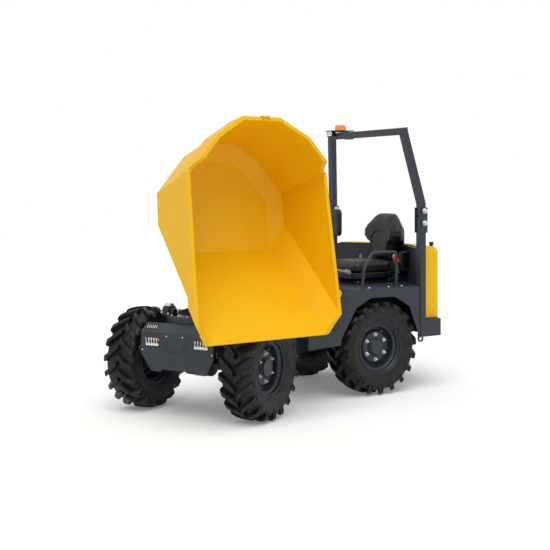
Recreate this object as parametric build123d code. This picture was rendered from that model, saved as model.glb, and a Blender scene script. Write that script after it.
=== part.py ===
"""Articulated site dumper with a swivel skip.

All sizes are in millimetres.  Each body is modelled straight and level, in a
frame of its own, and then set to the pose in which the machine stands:

  rear frame   X forward, Y left, Z up, origin on the ground under the rear axle
  front frame  the same, origin on the ground under the front axle
  turret       origin on the ground under the turntable's axis, X to the skip's lip
"""
import os
from math import atan2, cos, degrees, hypot, radians, sin, tan

from build123d import *

# ---------------------------------------------------------------- pose, in degrees
STEER_NOW = 28          # front frame turned left
SWIVEL_NOW = 64         # skip turned left on the front frame
TIP_NOW = 78            # skip tipped from level

# ---------------------------------------------------------------- clearances
RUN_FIT = 0.05          # radial clearance of a running fit
SEAT_GAP = 0.3          # between faces of two bodies, or of a soft part and its seat
GAP = 6                 # between a moving body and what it moves past

# ---------------------------------------------------------------- wheels
TYRE_R = 390
TYRE_W = 262
CARCASS_R = 354         # tread between the lugs
TYRE_BEAD_R = 194       # bead seat of a 15.3 inch rim
TYRE_WALL = 22
TYRE_SIDES = 24         # flats round the tyre
LUGS = 16               # on each side of the tread
# a lug's corners from the middle of the tread to the side: round the tyre, across,
# half its width, its foot and its top
LUG = (
    (46, 3, 17, 344, 390),
    (0, 62, 19, 344, 389),
    (-22, 131, 22, 322, 372),
)
RIM_FLANGE_R = 213
RIM_W = 228
RIM_WALL = 8
RIM_DROP = 24           # depth of the rim's well
WHEEL_STUD_PCD = 205
WHEEL_STUDS = 6
STUD_R = 8
STUD_L = 26
HUB_R = 66
HUB_CAP = 30            # how far the hub stands out of the disc
DISC_OUT = 42           # wheel disc's outer face, from the tyre's centre plane
DISC_WALL = 12
SPINDLE_R = 32
TRACK = 1020
WHEEL_GAP = 29          # between a tyre and the frame beside it
ARCH_GAP = 46           # between a tyre and the arch round it

# ---------------------------------------------------------------- axles
AXLE_Z = TYRE_R
AXLE_TUBE_R = 52
AXLE_HOUSING_R = 104
AXLE_HOUSING_L = 100    # half its length
AXLE_HUB_R = 88
AXLE_HUB_L = 60

# ---------------------------------------------------------------- wheelbase and joint
REAR_TO_PIVOT = 780
PIVOT_TO_FRONT = 890
JOINT_Z = AXLE_Z + 60   # middle of the articulation joint
TONGUE_T = 70
TONGUE_R = 75
PIVOT_R = 30
YOKE_R = 95
YOKE_T = 24

# ---------------------------------------------------------------- rear frame
RAIL_Y = 185            # outer face of each chassis rail
RAIL_T = 12
RAIL_Z0 = 330
CHASSIS_X0 = -600
CHASSIS_X1 = 545
CROSS_T = 14
BODY_HALF_W = 650       # outer face of the side panels
PANEL_T = 6
PLATE_T = 8
FENDER_Z = 880
FENDER_X1 = 257
SILL_X0 = 407
SILL_X1 = 738
SILL_Z0 = 430
SILL_Z1 = 567
RAIL_Z1 = SILL_Z1 - PLATE_T
LEG_W = 18              # the side panel's front leg, narrowest across
BEAM_H = 70
STEP_BEAM_W = 50
PLATFORM_HALF_W = TRACK / 2 - TYRE_W / 2 - WHEEL_GAP

# ---------------------------------------------------------------- roll bar
ROPS_X = -402           # front face of the lower posts
ROPS_TUBE = 58
ROPS_HALF_W = BODY_HALF_W + 8
ROPS_HINGE_Z = 1513
ROPS_BEND_Z = 1572
ROPS_TOP_Z = 2218
ROPS_LEAN = 9           # of the upper hoop, forward
ROPS_IN = 10.7          # of the upper hoop's posts, inward
ROPS_PIN_R = 11
SLEEVE_T = 8
SLEEVE_W = 80
SLEEVE_BELOW = 185      # the hinge plates reach this far below the hinge
SLEEVE_ABOVE = 28
POST_BELOW = 52         # top of the lower post below the hinge
LOCK_BELOW = 50         # lock bolt below the lower post's top
HINGE_FIT = 0.5         # between the hoop's stub and each hinge plate
BEACON_R = 58
BEACON_IN = 120         # beacon's middle, from the hoop's corner
STUB_BELOW = 34         # foot of the hoop below the hinge

# ---------------------------------------------------------------- bulkhead, hood and bumper
POST_IN = ROPS_HALF_W - ROPS_TUBE       # inner face of the roll bar's posts
BULKHEAD_X = ROPS_X - 8                 # front face where its wings meet the posts
BULKHEAD_T = 24
NICHE_X = ROPS_X - 238                  # front face of its flat middle, behind the seat
NICHE_HALF_W = 200
WING_SLOPE = (BULKHEAD_X - NICHE_X) / (POST_IN - NICHE_HALF_W)
BULKHEAD_Z = 1194
HOOD_HALF_W = POST_IN - GAP
HOOD_X1 = -660                          # rear corners of the hood's sides
HOOD_X0 = -862                          # its flat tail
TAIL_HALF_W = 115
HOOD_Z0 = 600
HOOD_Z1 = 1204
HOOD_T = 5
HOOD_ROUND = 50
LOUVRES = 6
LOUVRE_H = 12
LOUVRE_PITCH = 34
HOOD_HINGE_X = HOOD_X0 - 12
HOOD_HINGE_Z = HOOD_Z0 + 14
HOOD_HINGE_R = 10
HOOD_HINGE_PIN_R = 5
KNUCKLES = ((-90, -46), (46, 90))       # the hood's, on either side of the bumper's
KNUCKLE_FIT = 0.5                       # between knuckles, end to end
BUMPER_Z0 = 450
BUMPER_X0 = HOOD_X0 - 34
BUMPER_X1 = ROPS_X - 8                  # front end of its wings
BUMPER_CORNER_X = -634                  # rear end of its sides
BUMPER_WING_T = 40
TOW_PIN_R = 16
TOW_PIN_IN = 62                         # tow pin's hole, from the bumper's tail
EYE_RING_R = 28
EYE_RING_T = 12
EYE_RING_HOLE_R = 16
ENGINE_X0 = -790
ENGINE_X1 = -150
ENGINE_HALF_W = 150
ENGINE_FEET = 30

# ---------------------------------------------------------------- seat and controls
SEAT_X1 = -30           # front of the cushion
SEAT_W = 470
CUSHION_L = 430
CUSHION_Z1 = 1070
CUSHION_T = 95
SEAT_X0 = SEAT_X1 - CUSHION_L
BACK_X1 = SEAT_X0 - 20  # backrest's front face
BACK_T = 132
BACK_Z0 = 1050
BACK_Z1 = 1490
PAN_Z0 = 932            # under the seat's pan
SHELL_T = 12
RAIL_TUBE_R = 12
RAIL_IN = 70            # handrail's middle, from the body's side
# the handrail's corners in X and Z, from its rear foot
RAIL = ((-200, FENDER_Z + 4), (-205, 1172), (45, 1172), (140, 1020), (155, FENDER_Z + 4))
CONSOLE_W = 150
# the steering console's outline in X and Z; its face toward the driver is the third side
CONSOLE = ((640, SILL_Z1), (535, SILL_Z1), (395, 1010), (440, 1085), (525, 1040))
WHEEL_RING_R = 175
WHEEL_TUBE_R = 13
WHEEL_SIDES = 28
COLUMN_R = 22
COLUMN_L = 120

# ---------------------------------------------------------------- cylinders
STEER_REAR = (450, -265)        # steering cylinder's pin on the rear frame
STEER_FRONT = (-580, -240)      # and on the front frame
STEER_Z = 450
STEER_BORE_R = 30
STEER_ROD_R = 15
STEER_BARREL = 405
TIP_BASE = (80, 620)            # tip cylinder's pin in the turret's well
TIP_EYE = (200, 950)            # and on the level skip
TIP_BORE_R = 34
TIP_ROD_R = 18
TIP_BARREL = 300
BARREL_WALL = 8
EYE_R = 26
EYE_W = 36
EYE_PIN_R = 12
LUG_T = 12

# ---------------------------------------------------------------- front frame
FRAME_HALF_W = 200
FRAME_T = 14
FRAME_X0 = -575
FRAME_Z0 = 400
FRAME_Z1 = 660
FRONT_HALF_W = 317
FRONT_X1 = 330
FRONT_T = 10
FRONT_Z0 = 345
FRONT_Z1 = 640
FOLD_AT = 500           # height of the fold across the nose plate
FOLD_LEAN = 8
NOTCH_HALF_W = 150
SLOPE_RISE = 56
SLOPE_BACK = 84
LAMP_Y = 215
LAMP_W = 124
LAMP_H = 54
LAMP_Z = 590
RING_R = 330
RING_Z0 = 676           # under the fixed ring
RING_T = 54
RING_WALL = 70
WELL_R = 175            # turret's well, between the front rails
TURNTABLE_BACK = 100    # turntable's axis behind the front axle
RING_BOLTS = 20

# ---------------------------------------------------------------- turret and skip
DECK_Z = RING_Z0 + RING_T + SEAT_GAP
DECK_R = RING_R + 10
DECK_T = 16
TIP_X = 300             # tip hinge, in the turret's frame
TIP_Z = 950
TIP_PIN_R = 22
TOWER_Y = 190
TOWER_T = 22
DRIVE_AT = (20, -285)   # swivel drive's axis on the deck
DRIVE_R = 44
DRIVE_H = 75
# The skip has a frame of its own, its origin at the lip when the skip is level.  X is
# across to the left, Y back from the lip and Z up, square to the floor.
LIP_X = 716
LIP_Z = 1450
SKIP_SLOPE = 6          # the floor rises towards the lip when the skip is level
SKIP_ROOM = 1000        # a length greater than the skip's half
SKIP_T = 6
BAND_T = 22             # box section round the rim
BAND_H = 92
FLOOR_Z = -620
BEVEL_Z = -588          # where the walls meet the floor's bevels
BEVEL_LEAN = 70
FOLD_Z = -150           # fold in the walls round the back
LIP_CORNER = (515, -10, -63)
SIDE_CORNER = (617, 129, -5)
SIDE_END = (597, 1199, -55)
COLLAR_START = (1251, 39)               # the raised collar's first edge, as Y and Z
COLLAR_TOP = ((1416, 46), (1562, 15))
BACK_CORNERS = ((571, 1197), (382, 1413), (158, 1551))  # at the fold
LIP_LEAN = 49.5
CORNER_LEAN = 31
SIDE_LEAN = 3
COLLAR_LEAN = 4
BACK_LEAN = 9.5


# ---------------------------------------------------------------- shapes
def box(x0, x1, y0, y1, z0, z1):
    return Pos((x0 + x1) / 2, (y0 + y1) / 2, (z0 + z1) / 2) * Box(x1 - x0, y1 - y0, z1 - z0)


def rod_y(r, y0, y1, x=0, z=0):
    """Round bar along Y."""
    return Pos(x, (y0 + y1) / 2, z) * Rot(90, 0, 0) * Cylinder(r, y1 - y0)


def rod_z(r, z0, z1, x=0, y=0):
    return Pos(x, y, (z0 + z1) / 2) * Cylinder(r, z1 - z0)


def side_plate(points, y0, y1):
    """Plate cut to an outline in X and Z, between two values of Y."""
    face = make_face(Polyline([(x, y1, z) for x, z in points], close=True))
    return extrude(face, amount=y1 - y0, dir=(0, -1, 0))


def front_plate(points, x0, x1):
    """Plate cut to an outline in Y and Z, between two values of X."""
    face = make_face(Polyline([(x1, y, z) for y, z in points], close=True))
    return extrude(face, amount=x1 - x0, dir=(-1, 0, 0))


def both_sides(half):
    """Outline with its mirror image across Y = 0, from the points at Y above 0."""
    return half + [(-y, z) for y, z in reversed(half)]


def mirror_y(shape):
    return mirror(shape, about=Plane.XZ)


def bar(start, end, radius):
    """Round bar between two points."""
    a, b = Vector(*start), Vector(*end)
    plane = Plane(origin=a, z_dir=b - a)
    return extrude(plane * Circle(radius), amount=(b - a).length)


def faceted(faces):
    """Solid closed by flat faces, each given by its corners."""
    solid = Solid(Shell([Face(Wire.make_polygon(corners)) for corners in faces]))
    return solid if solid.volume > 0 else -solid


def faceted_ring(outline, sides):
    """Ring about Y with flat sides, from an outline in radius and Y."""
    turns = [radians(360 * i / sides) for i in range(sides)]
    faces = []
    for (r0, y0), (r1, y1) in zip(outline, outline[1:] + outline[:1]):
        for a, b in zip(turns, turns[1:] + turns[:1]):
            faces.append([(r0 * cos(a), y0, r0 * sin(a)), (r1 * cos(a), y1, r1 * sin(a)),
                          (r1 * cos(b), y1, r1 * sin(b)), (r0 * cos(b), y0, r0 * sin(b))])
    return faceted(faces)


def lashing_eye(x, y, z):
    """Ring plate for a lashing hook, upright and along X."""
    return rod_y(EYE_RING_R, y, y + EYE_RING_T, x, z) - rod_y(EYE_RING_HOLE_R, y - 1, y + EYE_RING_T + 1, x, z)


# ---------------------------------------------------------------- wheels
def rim():
    """Stepped rim with its disc and hub, about Y, the outer side at +Y."""
    w, f, b = RIM_W / 2, RIM_FLANGE_R, TYRE_BEAD_R
    drop, t = b - RIM_DROP, RIM_WALL
    seat, step = w - 42, w - 58
    outer = [(f, -w), (f, -w + t), (b, -w + t), (b, -seat), (drop, -step),
             (drop, step), (b, seat), (b, w - t), (f, w - t), (f, w)]
    inner = [(b - t, w), (b - t, seat + 2), (drop - t, step + 2),
             (drop - t, -step - 2), (b - t, -seat - 2), (b - t, -w)]
    barrel = revolve(make_face(Polyline([(r, y, 0) for r, y in outer + inner], close=True)), Axis.Y)
    bore, edge = SPINDLE_R + RUN_FIT, drop - t
    disc_outline = [(bore, DISC_OUT), (edge - 42, DISC_OUT), (edge, DISC_OUT - 26),
                    (edge, DISC_OUT - 26 - DISC_WALL), (edge - 48, DISC_OUT - DISC_WALL),
                    (bore, DISC_OUT - DISC_WALL)]
    disc = revolve(make_face(Polyline([(r, y, 0) for r, y in disc_outline], close=True)), Axis.Y)
    hub = rod_y(HUB_R, DISC_OUT - 1, DISC_OUT + HUB_CAP) - rod_y(bore, DISC_OUT - 2, DISC_OUT + HUB_CAP - GAP)
    studs = [Rot(0, i * 360 / WHEEL_STUDS, 0) * rod_y(STUD_R, DISC_OUT - 1, DISC_OUT + STUD_L, WHEEL_STUD_PCD / 2)
             for i in range(WHEEL_STUDS)]
    return barrel + disc + hub + studs


def lug(side):
    """Bent lug that runs back from the middle of the tread to one shoulder."""
    rings = [[(r * cos(s / TYRE_R), side * y, r * sin(s / TYRE_R))
              for s, r in ((at - half, foot), (at + half, foot), (at + half, top), (at - half, top))]
             for at, y, half, foot, top in LUG]
    faces = [rings[0], rings[-1]]
    for near, far in zip(rings, rings[1:]):
        for i in range(4):
            j = (i + 1) % 4
            faces += [[near[i], near[j], far[j]], [near[i], far[j], far[i]]]
    return faceted(faces)


def tyre():
    """Carcass with flats, its air space open to the rim, and a ring of lugs on each side."""
    w, s = TYRE_W / 2, CARCASS_R
    bead = TYRE_BEAD_R / cos(radians(180 / TYRE_SIDES))
    rim_w = RIM_W / 2 - RIM_WALL
    air = rim_w - TYRE_WALL
    half = [(bead, air), (bead, rim_w), (RIM_FLANGE_R + 8, rim_w), (s - 72, w), (s - 4, w - 8)]
    crown = [(r, -y) for r, y in reversed(half)]
    inside = [(s - TYRE_WALL, -air), (s - TYRE_WALL, air)]
    carcass = faceted_ring(half + crown + inside, TYRE_SIDES)
    pitch = 360 / LUGS
    lugs = [Rot(0, (i + shift) * pitch, 0) * lug(side)
            for side, shift in ((1, 0), (-1, 0.5)) for i in range(LUGS)]
    return carcass + lugs


def axle():
    """Axle tube with its centre housing and the spindles that carry the wheels."""
    end = TRACK / 2 + DISC_OUT - DISC_WALL - GAP
    reach = TRACK / 2 + DISC_OUT + HUB_CAP - 2 * GAP
    tube = rod_y(AXLE_TUBE_R, -end, end, z=AXLE_Z)
    housing = rod_y(AXLE_HOUSING_R, -AXLE_HOUSING_L, AXLE_HOUSING_L, z=AXLE_Z)
    hubs = [rod_y(AXLE_HUB_R, y0, y0 + AXLE_HUB_L, z=AXLE_Z) for y0 in (end - AXLE_HUB_L, -end)]
    return tube + housing + hubs + rod_y(SPINDLE_R, -reach, reach, z=AXLE_Z)


def axle_room():
    """What the frames leave free for an axle that they clamp."""
    return rod_y(AXLE_HOUSING_R, -AXLE_HOUSING_L, AXLE_HOUSING_L, z=AXLE_Z) + \
        rod_y(AXLE_TUBE_R, -FRAME_HALF_W - 1, FRAME_HALF_W + 1, z=AXLE_Z)


# ---------------------------------------------------------------- rear frame
def steer_lug(x, y, toward, pinned):
    """Fork of two plates that reaches sideways to a steering cylinder's eye."""
    plates = []
    for side in (1, -1):
        z0 = STEER_Z + side * (EYE_W / 2 + 8) - LUG_T / 2
        arm = box(x - 20, x + 20, min(y, toward), max(y, toward), z0, z0 + LUG_T)
        head = rod_z(EYE_PIN_R + 5, z0 + side * LUG_T / 2, z0 + LUG_T + side * LUG_T / 2, x, y)
        plates.append(arm + rod_z(EYE_R + 2, z0, z0 + LUG_T, x, y) + head)
    if pinned:
        plates.append(rod_z(EYE_PIN_R, STEER_Z - EYE_W, STEER_Z + EYE_W, x, y))
    return plates


def rear_chassis():
    """Two rails with a top plate, cross plates, outriggers and the steering cylinder's lug."""
    inner = RAIL_Y - RAIL_T
    side = BODY_HALF_W - PANEL_T
    rails = [box(CHASSIS_X0, CHASSIS_X1, y0, y0 + RAIL_T, RAIL_Z0, RAIL_Z1) for y0 in (inner, -RAIL_Y)]
    # cross plates: rear face and foot
    cross = [box(x, x + CROSS_T, -inner, inner, z0, RAIL_Z1)
             for x, z0 in ((CHASSIS_X0, JOINT_Z), (-240, JOINT_Z), (226, JOINT_Z), (CHASSIS_X1 - CROSS_T, RAIL_Z0 + 30))]
    top = box(CHASSIS_X0, SILL_X0, -RAIL_Y, RAIL_Y, RAIL_Z1 - PLATE_T, RAIL_Z1)
    post_y = BODY_HALF_W - BUMPER_WING_T
    post_beam = box(ROPS_X - ROPS_TUBE, ROPS_X, -post_y, post_y, RAIL_Z1 - BEAM_H, RAIL_Z1)
    step_beams = [box(x, x + STEP_BEAM_W, -side, side, RAIL_Z1 - 45, RAIL_Z1)
                  for x in (SILL_X0 + STEP_BEAM_W, SILL_X1 - 10 - STEP_BEAM_W)]
    nose = box(CHASSIS_X1 - 60, SILL_X1 - 10, -RAIL_Y, RAIL_Y, RAIL_Z1 - PLATE_T, RAIL_Z1)
    frame = rails[0] + rails[1] + cross + top + post_beam + step_beams + nose - axle_room()
    return frame + steer_lug(*STEER_REAR, -RAIL_Y, True)


def rear_yoke():
    """Two plates that hold the articulation pin."""
    x0 = CHASSIS_X1
    plates = [box(x0, REAR_TO_PIVOT, -YOKE_R, YOKE_R, z, z + YOKE_T) + rod_z(YOKE_R, z, z + YOKE_T, REAR_TO_PIVOT)
              for z in (JOINT_Z - TONGUE_T / 2 - 1 - YOKE_T, JOINT_Z + TONGUE_T / 2 + 1)]
    web = box(x0, x0 + 34, -YOKE_R, YOKE_R, JOINT_Z - TONGUE_T / 2 - 1, JOINT_Z + TONGUE_T / 2 + 1)
    reach = TONGUE_T / 2 + YOKE_T + 20
    return plates[0] + plates[1] + web + rod_z(PIVOT_R, JOINT_Z - reach, JOINT_Z + reach, REAR_TO_PIVOT)


def side_panel():
    """Left side panel: fender top, sloping front leg, sill and wheel arch."""
    y0, y1 = BODY_HALF_W - PANEL_T, BODY_HALF_W
    arch_r = TYRE_R + ARCH_GAP
    arch = [(arch_r * cos(radians(a)), AXLE_Z + arch_r * sin(radians(a))) for a in (52, 74, 107, 131)]
    outline = [(ROPS_X, SILL_Z0 + 30), (ROPS_X, FENDER_Z), (FENDER_X1, FENDER_Z), (SILL_X0, SILL_Z1),
               (SILL_X1, SILL_Z1), (SILL_X1, SILL_Z0), (SILL_X0 + LEG_W, SILL_Z0 + 15),
               (SILL_X0 + 12, SILL_Z1 - 70)] + arch + [(ROPS_X + 8, SILL_Z0 + 30)]
    plate = side_plate(outline, y0, y1)
    return plate + box(ROPS_X, FENDER_X1 - PANEL_T, PLATFORM_HALF_W, y0, FENDER_Z - PANEL_T, FENDER_Z)


def riser():
    """Full-width plate that slopes from the fenders' top down to the floor."""
    y1 = BODY_HALF_W - PANEL_T
    outline = [(FENDER_X1 - PANEL_T, FENDER_Z), (FENDER_X1, FENDER_Z), (SILL_X0, SILL_Z1), (SILL_X0 - PANEL_T, SILL_Z1)]
    return side_plate(outline, -y1, y1)


def floor_plate():
    y1 = BODY_HALF_W - PANEL_T
    return box(SILL_X0, SILL_X1, -y1, y1, RAIL_Z1, SILL_Z1)


def wing_x(y, setback=0):
    """Where the bulkhead's front face, moved back by the setback, lies at a value of Y."""
    back = setback * hypot(1, WING_SLOPE)
    return max(BULKHEAD_X - back - (POST_IN - abs(y)) * WING_SLOPE, NICHE_X - setback)


def wing_points(setback, y_out=POST_IN):
    """The bulkhead's line in plan, moved back by the setback, from left to right."""
    y_in = POST_IN - (BULKHEAD_X - NICHE_X + setback - setback * hypot(1, WING_SLOPE)) / WING_SLOPE
    half = [(wing_x(y_out, setback), y_out), (NICHE_X - setback, y_in)]
    return half + [(x, -y) for x, y in reversed(half)]


def plan_plate(points, z0, z1):
    """Plate cut to an outline in X and Y, between two heights."""
    return extrude(make_face(Polyline([(x, y, z0) for x, y in points], close=True)), amount=z1 - z0, dir=(0, 0, 1))


def seat_box():
    """Platform under the seat with the walls between the wheels."""
    y1, x1 = PLATFORM_HALF_W, FENDER_X1 - PANEL_T
    line = wing_points(0)
    top = plan_plate([(x1, -y1), (x1, y1), (ROPS_X, y1), (ROPS_X, POST_IN)] + line + [(ROPS_X, -POST_IN), (ROPS_X, -y1)],
                     FENDER_Z - PANEL_T, FENDER_Z)
    foot, x0 = SILL_X0 - PLATE_T, wing_x(y1) + PANEL_T
    outline = [(x0, RAIL_Z1), (x0, FENDER_Z - PANEL_T), (x1, FENDER_Z - PANEL_T), (foot, SILL_Z1), (foot, RAIL_Z1)]
    walls = [side_plate(outline, y0, y0 + PANEL_T) for y0 in (-y1, y1 - PANEL_T)]
    return top + walls


def bulkhead():
    """Wall behind the seat, set back in the middle, with a port for the engine."""
    wall = plan_plate(wing_points(0) + list(reversed(wing_points(BULKHEAD_T))), HOOD_Z0 - GAP, BULKHEAD_Z)
    port_y = ENGINE_HALF_W + GAP
    return wall - box(NICHE_X - BULKHEAD_T - 1, NICHE_X + 1, -port_y, port_y, RAIL_Z1, FENDER_Z - PANEL_T)


def engine():
    """Engine, pump and cooler as one block that reaches from the hood to below the seat."""
    y1, z0 = ENGINE_HALF_W, RAIL_Z1 + ENGINE_FEET
    block = box(ENGINE_X0, ENGINE_X1, -y1, y1, max(z0, HOOD_Z0), FENDER_Z - PANEL_T - 2 * GAP)
    feet = [box(x, x + 50, -y1, y1, RAIL_Z1, HOOD_Z0 + 1) for x in (CHASSIS_X0 + CROSS_T, ENGINE_X1 - 80)]
    return block + feet


def bumper():
    """Counterweight below the hood, with the tow pin's slot, two lashing eyes and the lid's hinge."""
    y1, x0, top = BODY_HALF_W, BUMPER_X0, HOOD_Z0 - GAP
    block = plan_plate([(CHASSIS_X0, y1), (BUMPER_CORNER_X, y1), (x0, TAIL_HALF_W), (x0, -TAIL_HALF_W),
                        (BUMPER_CORNER_X, -y1), (CHASSIS_X0, -y1)], BUMPER_Z0, top)
    wings = [box(CHASSIS_X0 - 1, BUMPER_X1, y0, y0 + BUMPER_WING_T, BUMPER_Z0, RAIL_Z1)
             for y0 in (y1 - BUMPER_WING_T, -y1)]
    eyes = [lashing_eye(BUMPER_X1 - EYE_RING_R / 2, s * (y1 - BUMPER_WING_T / 2) - EYE_RING_T / 2,
                        BUMPER_Z0 - EYE_RING_HOLE_R) for s in (1, -1)]
    y2 = KNUCKLES[1][0] - KNUCKLE_FIT
    knuckle = rod_y(HOOD_HINGE_R, -y2, y2, HOOD_HINGE_X, HOOD_HINGE_Z) + \
        box(HOOD_HINGE_X - HOOD_HINGE_R, HOOD_HINGE_X + 4, -y2, y2, top - 1, HOOD_HINGE_Z)
    pin = rod_y(HOOD_HINGE_PIN_R, -KNUCKLES[1][1], KNUCKLES[1][1], HOOD_HINGE_X, HOOD_HINGE_Z)
    tow = rod_z(TOW_PIN_R, BUMPER_Z0 - 1, top + 1, x0 + TOW_PIN_IN)
    slot = box(x0 - 1, x0 + TOW_PIN_IN + 40, -60, 60, BUMPER_Z0 + 50, BUMPER_Z0 + 95)
    return block + wings + eyes - tow - slot + knuckle + pin


def hood_block(inset):
    """Hood's outer block, or the room inside it when moved in by the wall's thickness."""
    y1, ahead = HOOD_HALF_W - inset, 40 * (inset > 0)
    turn = inset * tan(atan2(HOOD_X1 - HOOD_X0, HOOD_HALF_W - TAIL_HALF_W) / 2)
    front = [(x + ahead, y) for x, y in wing_points(BULKHEAD_T + GAP, y1)]
    rear = [(HOOD_X0 + inset, -TAIL_HALF_W + turn), (HOOD_X0 + inset, TAIL_HALF_W - turn)]
    side = HOOD_X1 + inset * tan(radians(90) / 2 - atan2(HOOD_X1 - HOOD_X0, HOOD_HALF_W - TAIL_HALF_W) / 2)
    block = plan_plate(front + [(side, -y1)] + rear + [(side, y1)], HOOD_Z0 - inset, HOOD_Z1 - inset)
    uprights = block.edges().filter_by(Axis.Z).filter_by(lambda e: e.center().X < HOOD_X1 + 20)
    block = fillet(uprights, HOOD_ROUND - inset)
    top_z = HOOD_Z1 - inset
    top = block.edges().filter_by(lambda e: e.center().Z > top_z - 1)
    line = wing_points(BULKHEAD_T + GAP, y1)
    outer = top.filter_by(lambda e: e.center().X < wing_x(e.center().Y, BULKHEAD_T + GAP) + ahead - 12)
    return fillet(outer, HOOD_ROUND - inset)


def hood():
    """Engine hood, open below and at the front, with air slots in its tail."""
    shell = hood_block(0) - hood_block(HOOD_T)
    y1, z = TAIL_HALF_W - 25, HOOD_Z1 - 150
    slots = [box(HOOD_X0 - 1, HOOD_X0 + 2 * HOOD_T, -y1, y1, z - i * LOUVRE_PITCH - LOUVRE_H, z - i * LOUVRE_PITCH)
             for i in range(LOUVRES)]
    x1, r = HOOD_HINGE_X, HOOD_HINGE_R
    knuckles = [rod_y(r, a, b, x1, HOOD_HINGE_Z) + box(x1, HOOD_X0 + 1, a, b, HOOD_HINGE_Z - 6, HOOD_HINGE_Z + r)
                for a, b in KNUCKLES]
    reach = KNUCKLES[1][1] + 1
    return shell - slots + knuckles - rod_y(HOOD_HINGE_PIN_R + RUN_FIT, -reach, reach, x1, HOOD_HINGE_Z)


# ---------------------------------------------------------------- seat and controls
def seat_base():
    """Suspension, pan and back bracket of the seat."""
    z_top, half = CUSHION_Z1 - CUSHION_T - SEAT_GAP, SEAT_W / 2
    x_back = BACK_X1 - BACK_T - SEAT_GAP
    pan = box(x_back - SHELL_T, SEAT_X1 - 20, -half + 20, half - 20, PAN_Z0, z_top)
    body = box(SEAT_X0 + 30, SEAT_X1 - 30, -half + 60, half - 60, FENDER_Z, PAN_Z0)
    bracket = box(x_back - SHELL_T, x_back, -half / 2, half / 2, PAN_Z0, BACK_Z0 + 150)
    return pan + body + bracket


def seat_cushion():
    return box(SEAT_X0, SEAT_X1, -SEAT_W / 2, SEAT_W / 2, CUSHION_Z1 - CUSHION_T, CUSHION_Z1)


def seat_backrest():
    """Backrest that is widest at the shoulders' foot and narrow at its top and bottom."""
    w, rise = SEAT_W / 2, BACK_Z1 - BACK_Z0
    outline = both_sides([(w * y, BACK_Z0 + rise * z) for y, z in
                          ((0.5, 0), (0.62, 0.31), (1, 0.52), (1, 0.66), (0.84, 0.86), (0.5, 1))])
    return front_plate(outline, BACK_X1 - BACK_T, BACK_X1)


def handrail():
    """Left handrail: a tube bent into a loop on the fender."""
    y = BODY_HALF_W - RAIL_IN
    path = FilletPolyline(*[(x, y, z) for x, z in RAIL], radius=50)
    tube = sweep(Plane(origin=path @ 0, z_dir=path % 0) * Circle(RAIL_TUBE_R), path=path)
    feet = [rod_z(2 * RAIL_TUBE_R, FENDER_Z, FENDER_Z + PLATE_T, x, y) for x in (RAIL[0][0], RAIL[-1][0])]
    return tube + feet


def rops_post():
    """Left lower post with the two hinge plates, the hinge pin and the lock bolt."""
    y0, y1 = POST_IN, ROPS_HALF_W
    mid = ROPS_X - ROPS_TUBE / 2
    post = box(ROPS_X - ROPS_TUBE, ROPS_X, y0, y1, RAIL_Z1, ROPS_HINGE_Z - POST_BELOW)
    plates = [box(mid - SLEEVE_W / 2, mid + SLEEVE_W / 2, y, y + SLEEVE_T, ROPS_HINGE_Z - SLEEVE_BELOW,
                  ROPS_HINGE_Z + SLEEVE_ABOVE) for y in (y1, y0 - SLEEVE_T)]
    reach = SLEEVE_T + 12
    bolts = [rod_y(ROPS_PIN_R, y0 - reach, y1 + reach, mid, z)
             for z in (ROPS_HINGE_Z, ROPS_HINGE_Z - POST_BELOW - LOCK_BELOW)]
    return post + plates + bolts


def hoop_corner():
    """Middle of the hoop's left upper corner."""
    rise = ROPS_TOP_Z - ROPS_TUBE / 2 - ROPS_BEND_Z
    return Vector(ROPS_X - ROPS_TUBE / 2 + rise * tan(radians(ROPS_LEAN)),
                  ROPS_HALF_W - ROPS_TUBE / 2 - rise * tan(radians(ROPS_IN)), ROPS_TOP_Z - ROPS_TUBE / 2)


def rops_hoop():
    """Upper hoop: two stubs in the hinges, two posts that lean in and forward, and the top bar."""
    t, end = ROPS_TUBE, hoop_corner()
    mid, y0 = ROPS_X - t / 2, ROPS_HALF_W - t / 2
    half = t / 2 - HINGE_FIT
    pieces = []
    for s in (1, -1):
        bend = Vector(mid, s * y0, ROPS_BEND_Z)
        corner = Vector(end.X, s * end.Y, end.Z)
        along = corner - bend
        plane = Plane(origin=bend - along * 0.01, x_dir=(0, 1, 0), z_dir=along)
        pieces.append(extrude(plane * Rectangle(2 * half, t - 2), amount=along.length * 1.01))
        pieces.append(box(mid - t / 2 + 1, mid + t / 2 - 1, s * y0 - half, s * y0 + half,
                          ROPS_HINGE_Z - STUB_BELOW, ROPS_BEND_Z + 2))
    lean = Plane(origin=(end.X, -end.Y - t / 2, end.Z), x_dir=(cos(radians(ROPS_LEAN)), 0, -sin(radians(ROPS_LEAN))),
                 z_dir=(0, 1, 0))
    top = extrude(lean * Rectangle(t, t), amount=2 * end.Y + t)
    hole = rod_y(ROPS_PIN_R + RUN_FIT, -ROPS_HALF_W - 1, ROPS_HALF_W + 1, mid, ROPS_HINGE_Z)
    return top + pieces - hole


def beacon():
    """Amber lamp on a plate that stands on the top bar, over its right end."""
    at = hoop_corner()
    y, z = BEACON_IN - at.Y, ROPS_TOP_Z - 2
    plate = box(at.X - 62, at.X + 62, y - 62, y + 62, z, z + 8) + box(at.X - 24, at.X + 24, y, y + 170, z, z + 8)
    lamp = rod_z(BEACON_R, z + 8, z + 44, at.X, y)
    return plate + lamp - rops_hoop()


def work_lamp():
    """Lamp in front of the top bar's right end, with its bracket."""
    at = hoop_corner()
    x0 = at.X + ROPS_TUBE / 2 + 12
    body = box(x0, x0 + 50, -at.Y - 40, -at.Y + 52, at.Z - 8, at.Z + 42)
    arm = box(at.X, x0 + 1, -at.Y, -at.Y + 46, at.Z - 6, at.Z + 20)
    return body + arm - rops_hoop()


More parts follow.
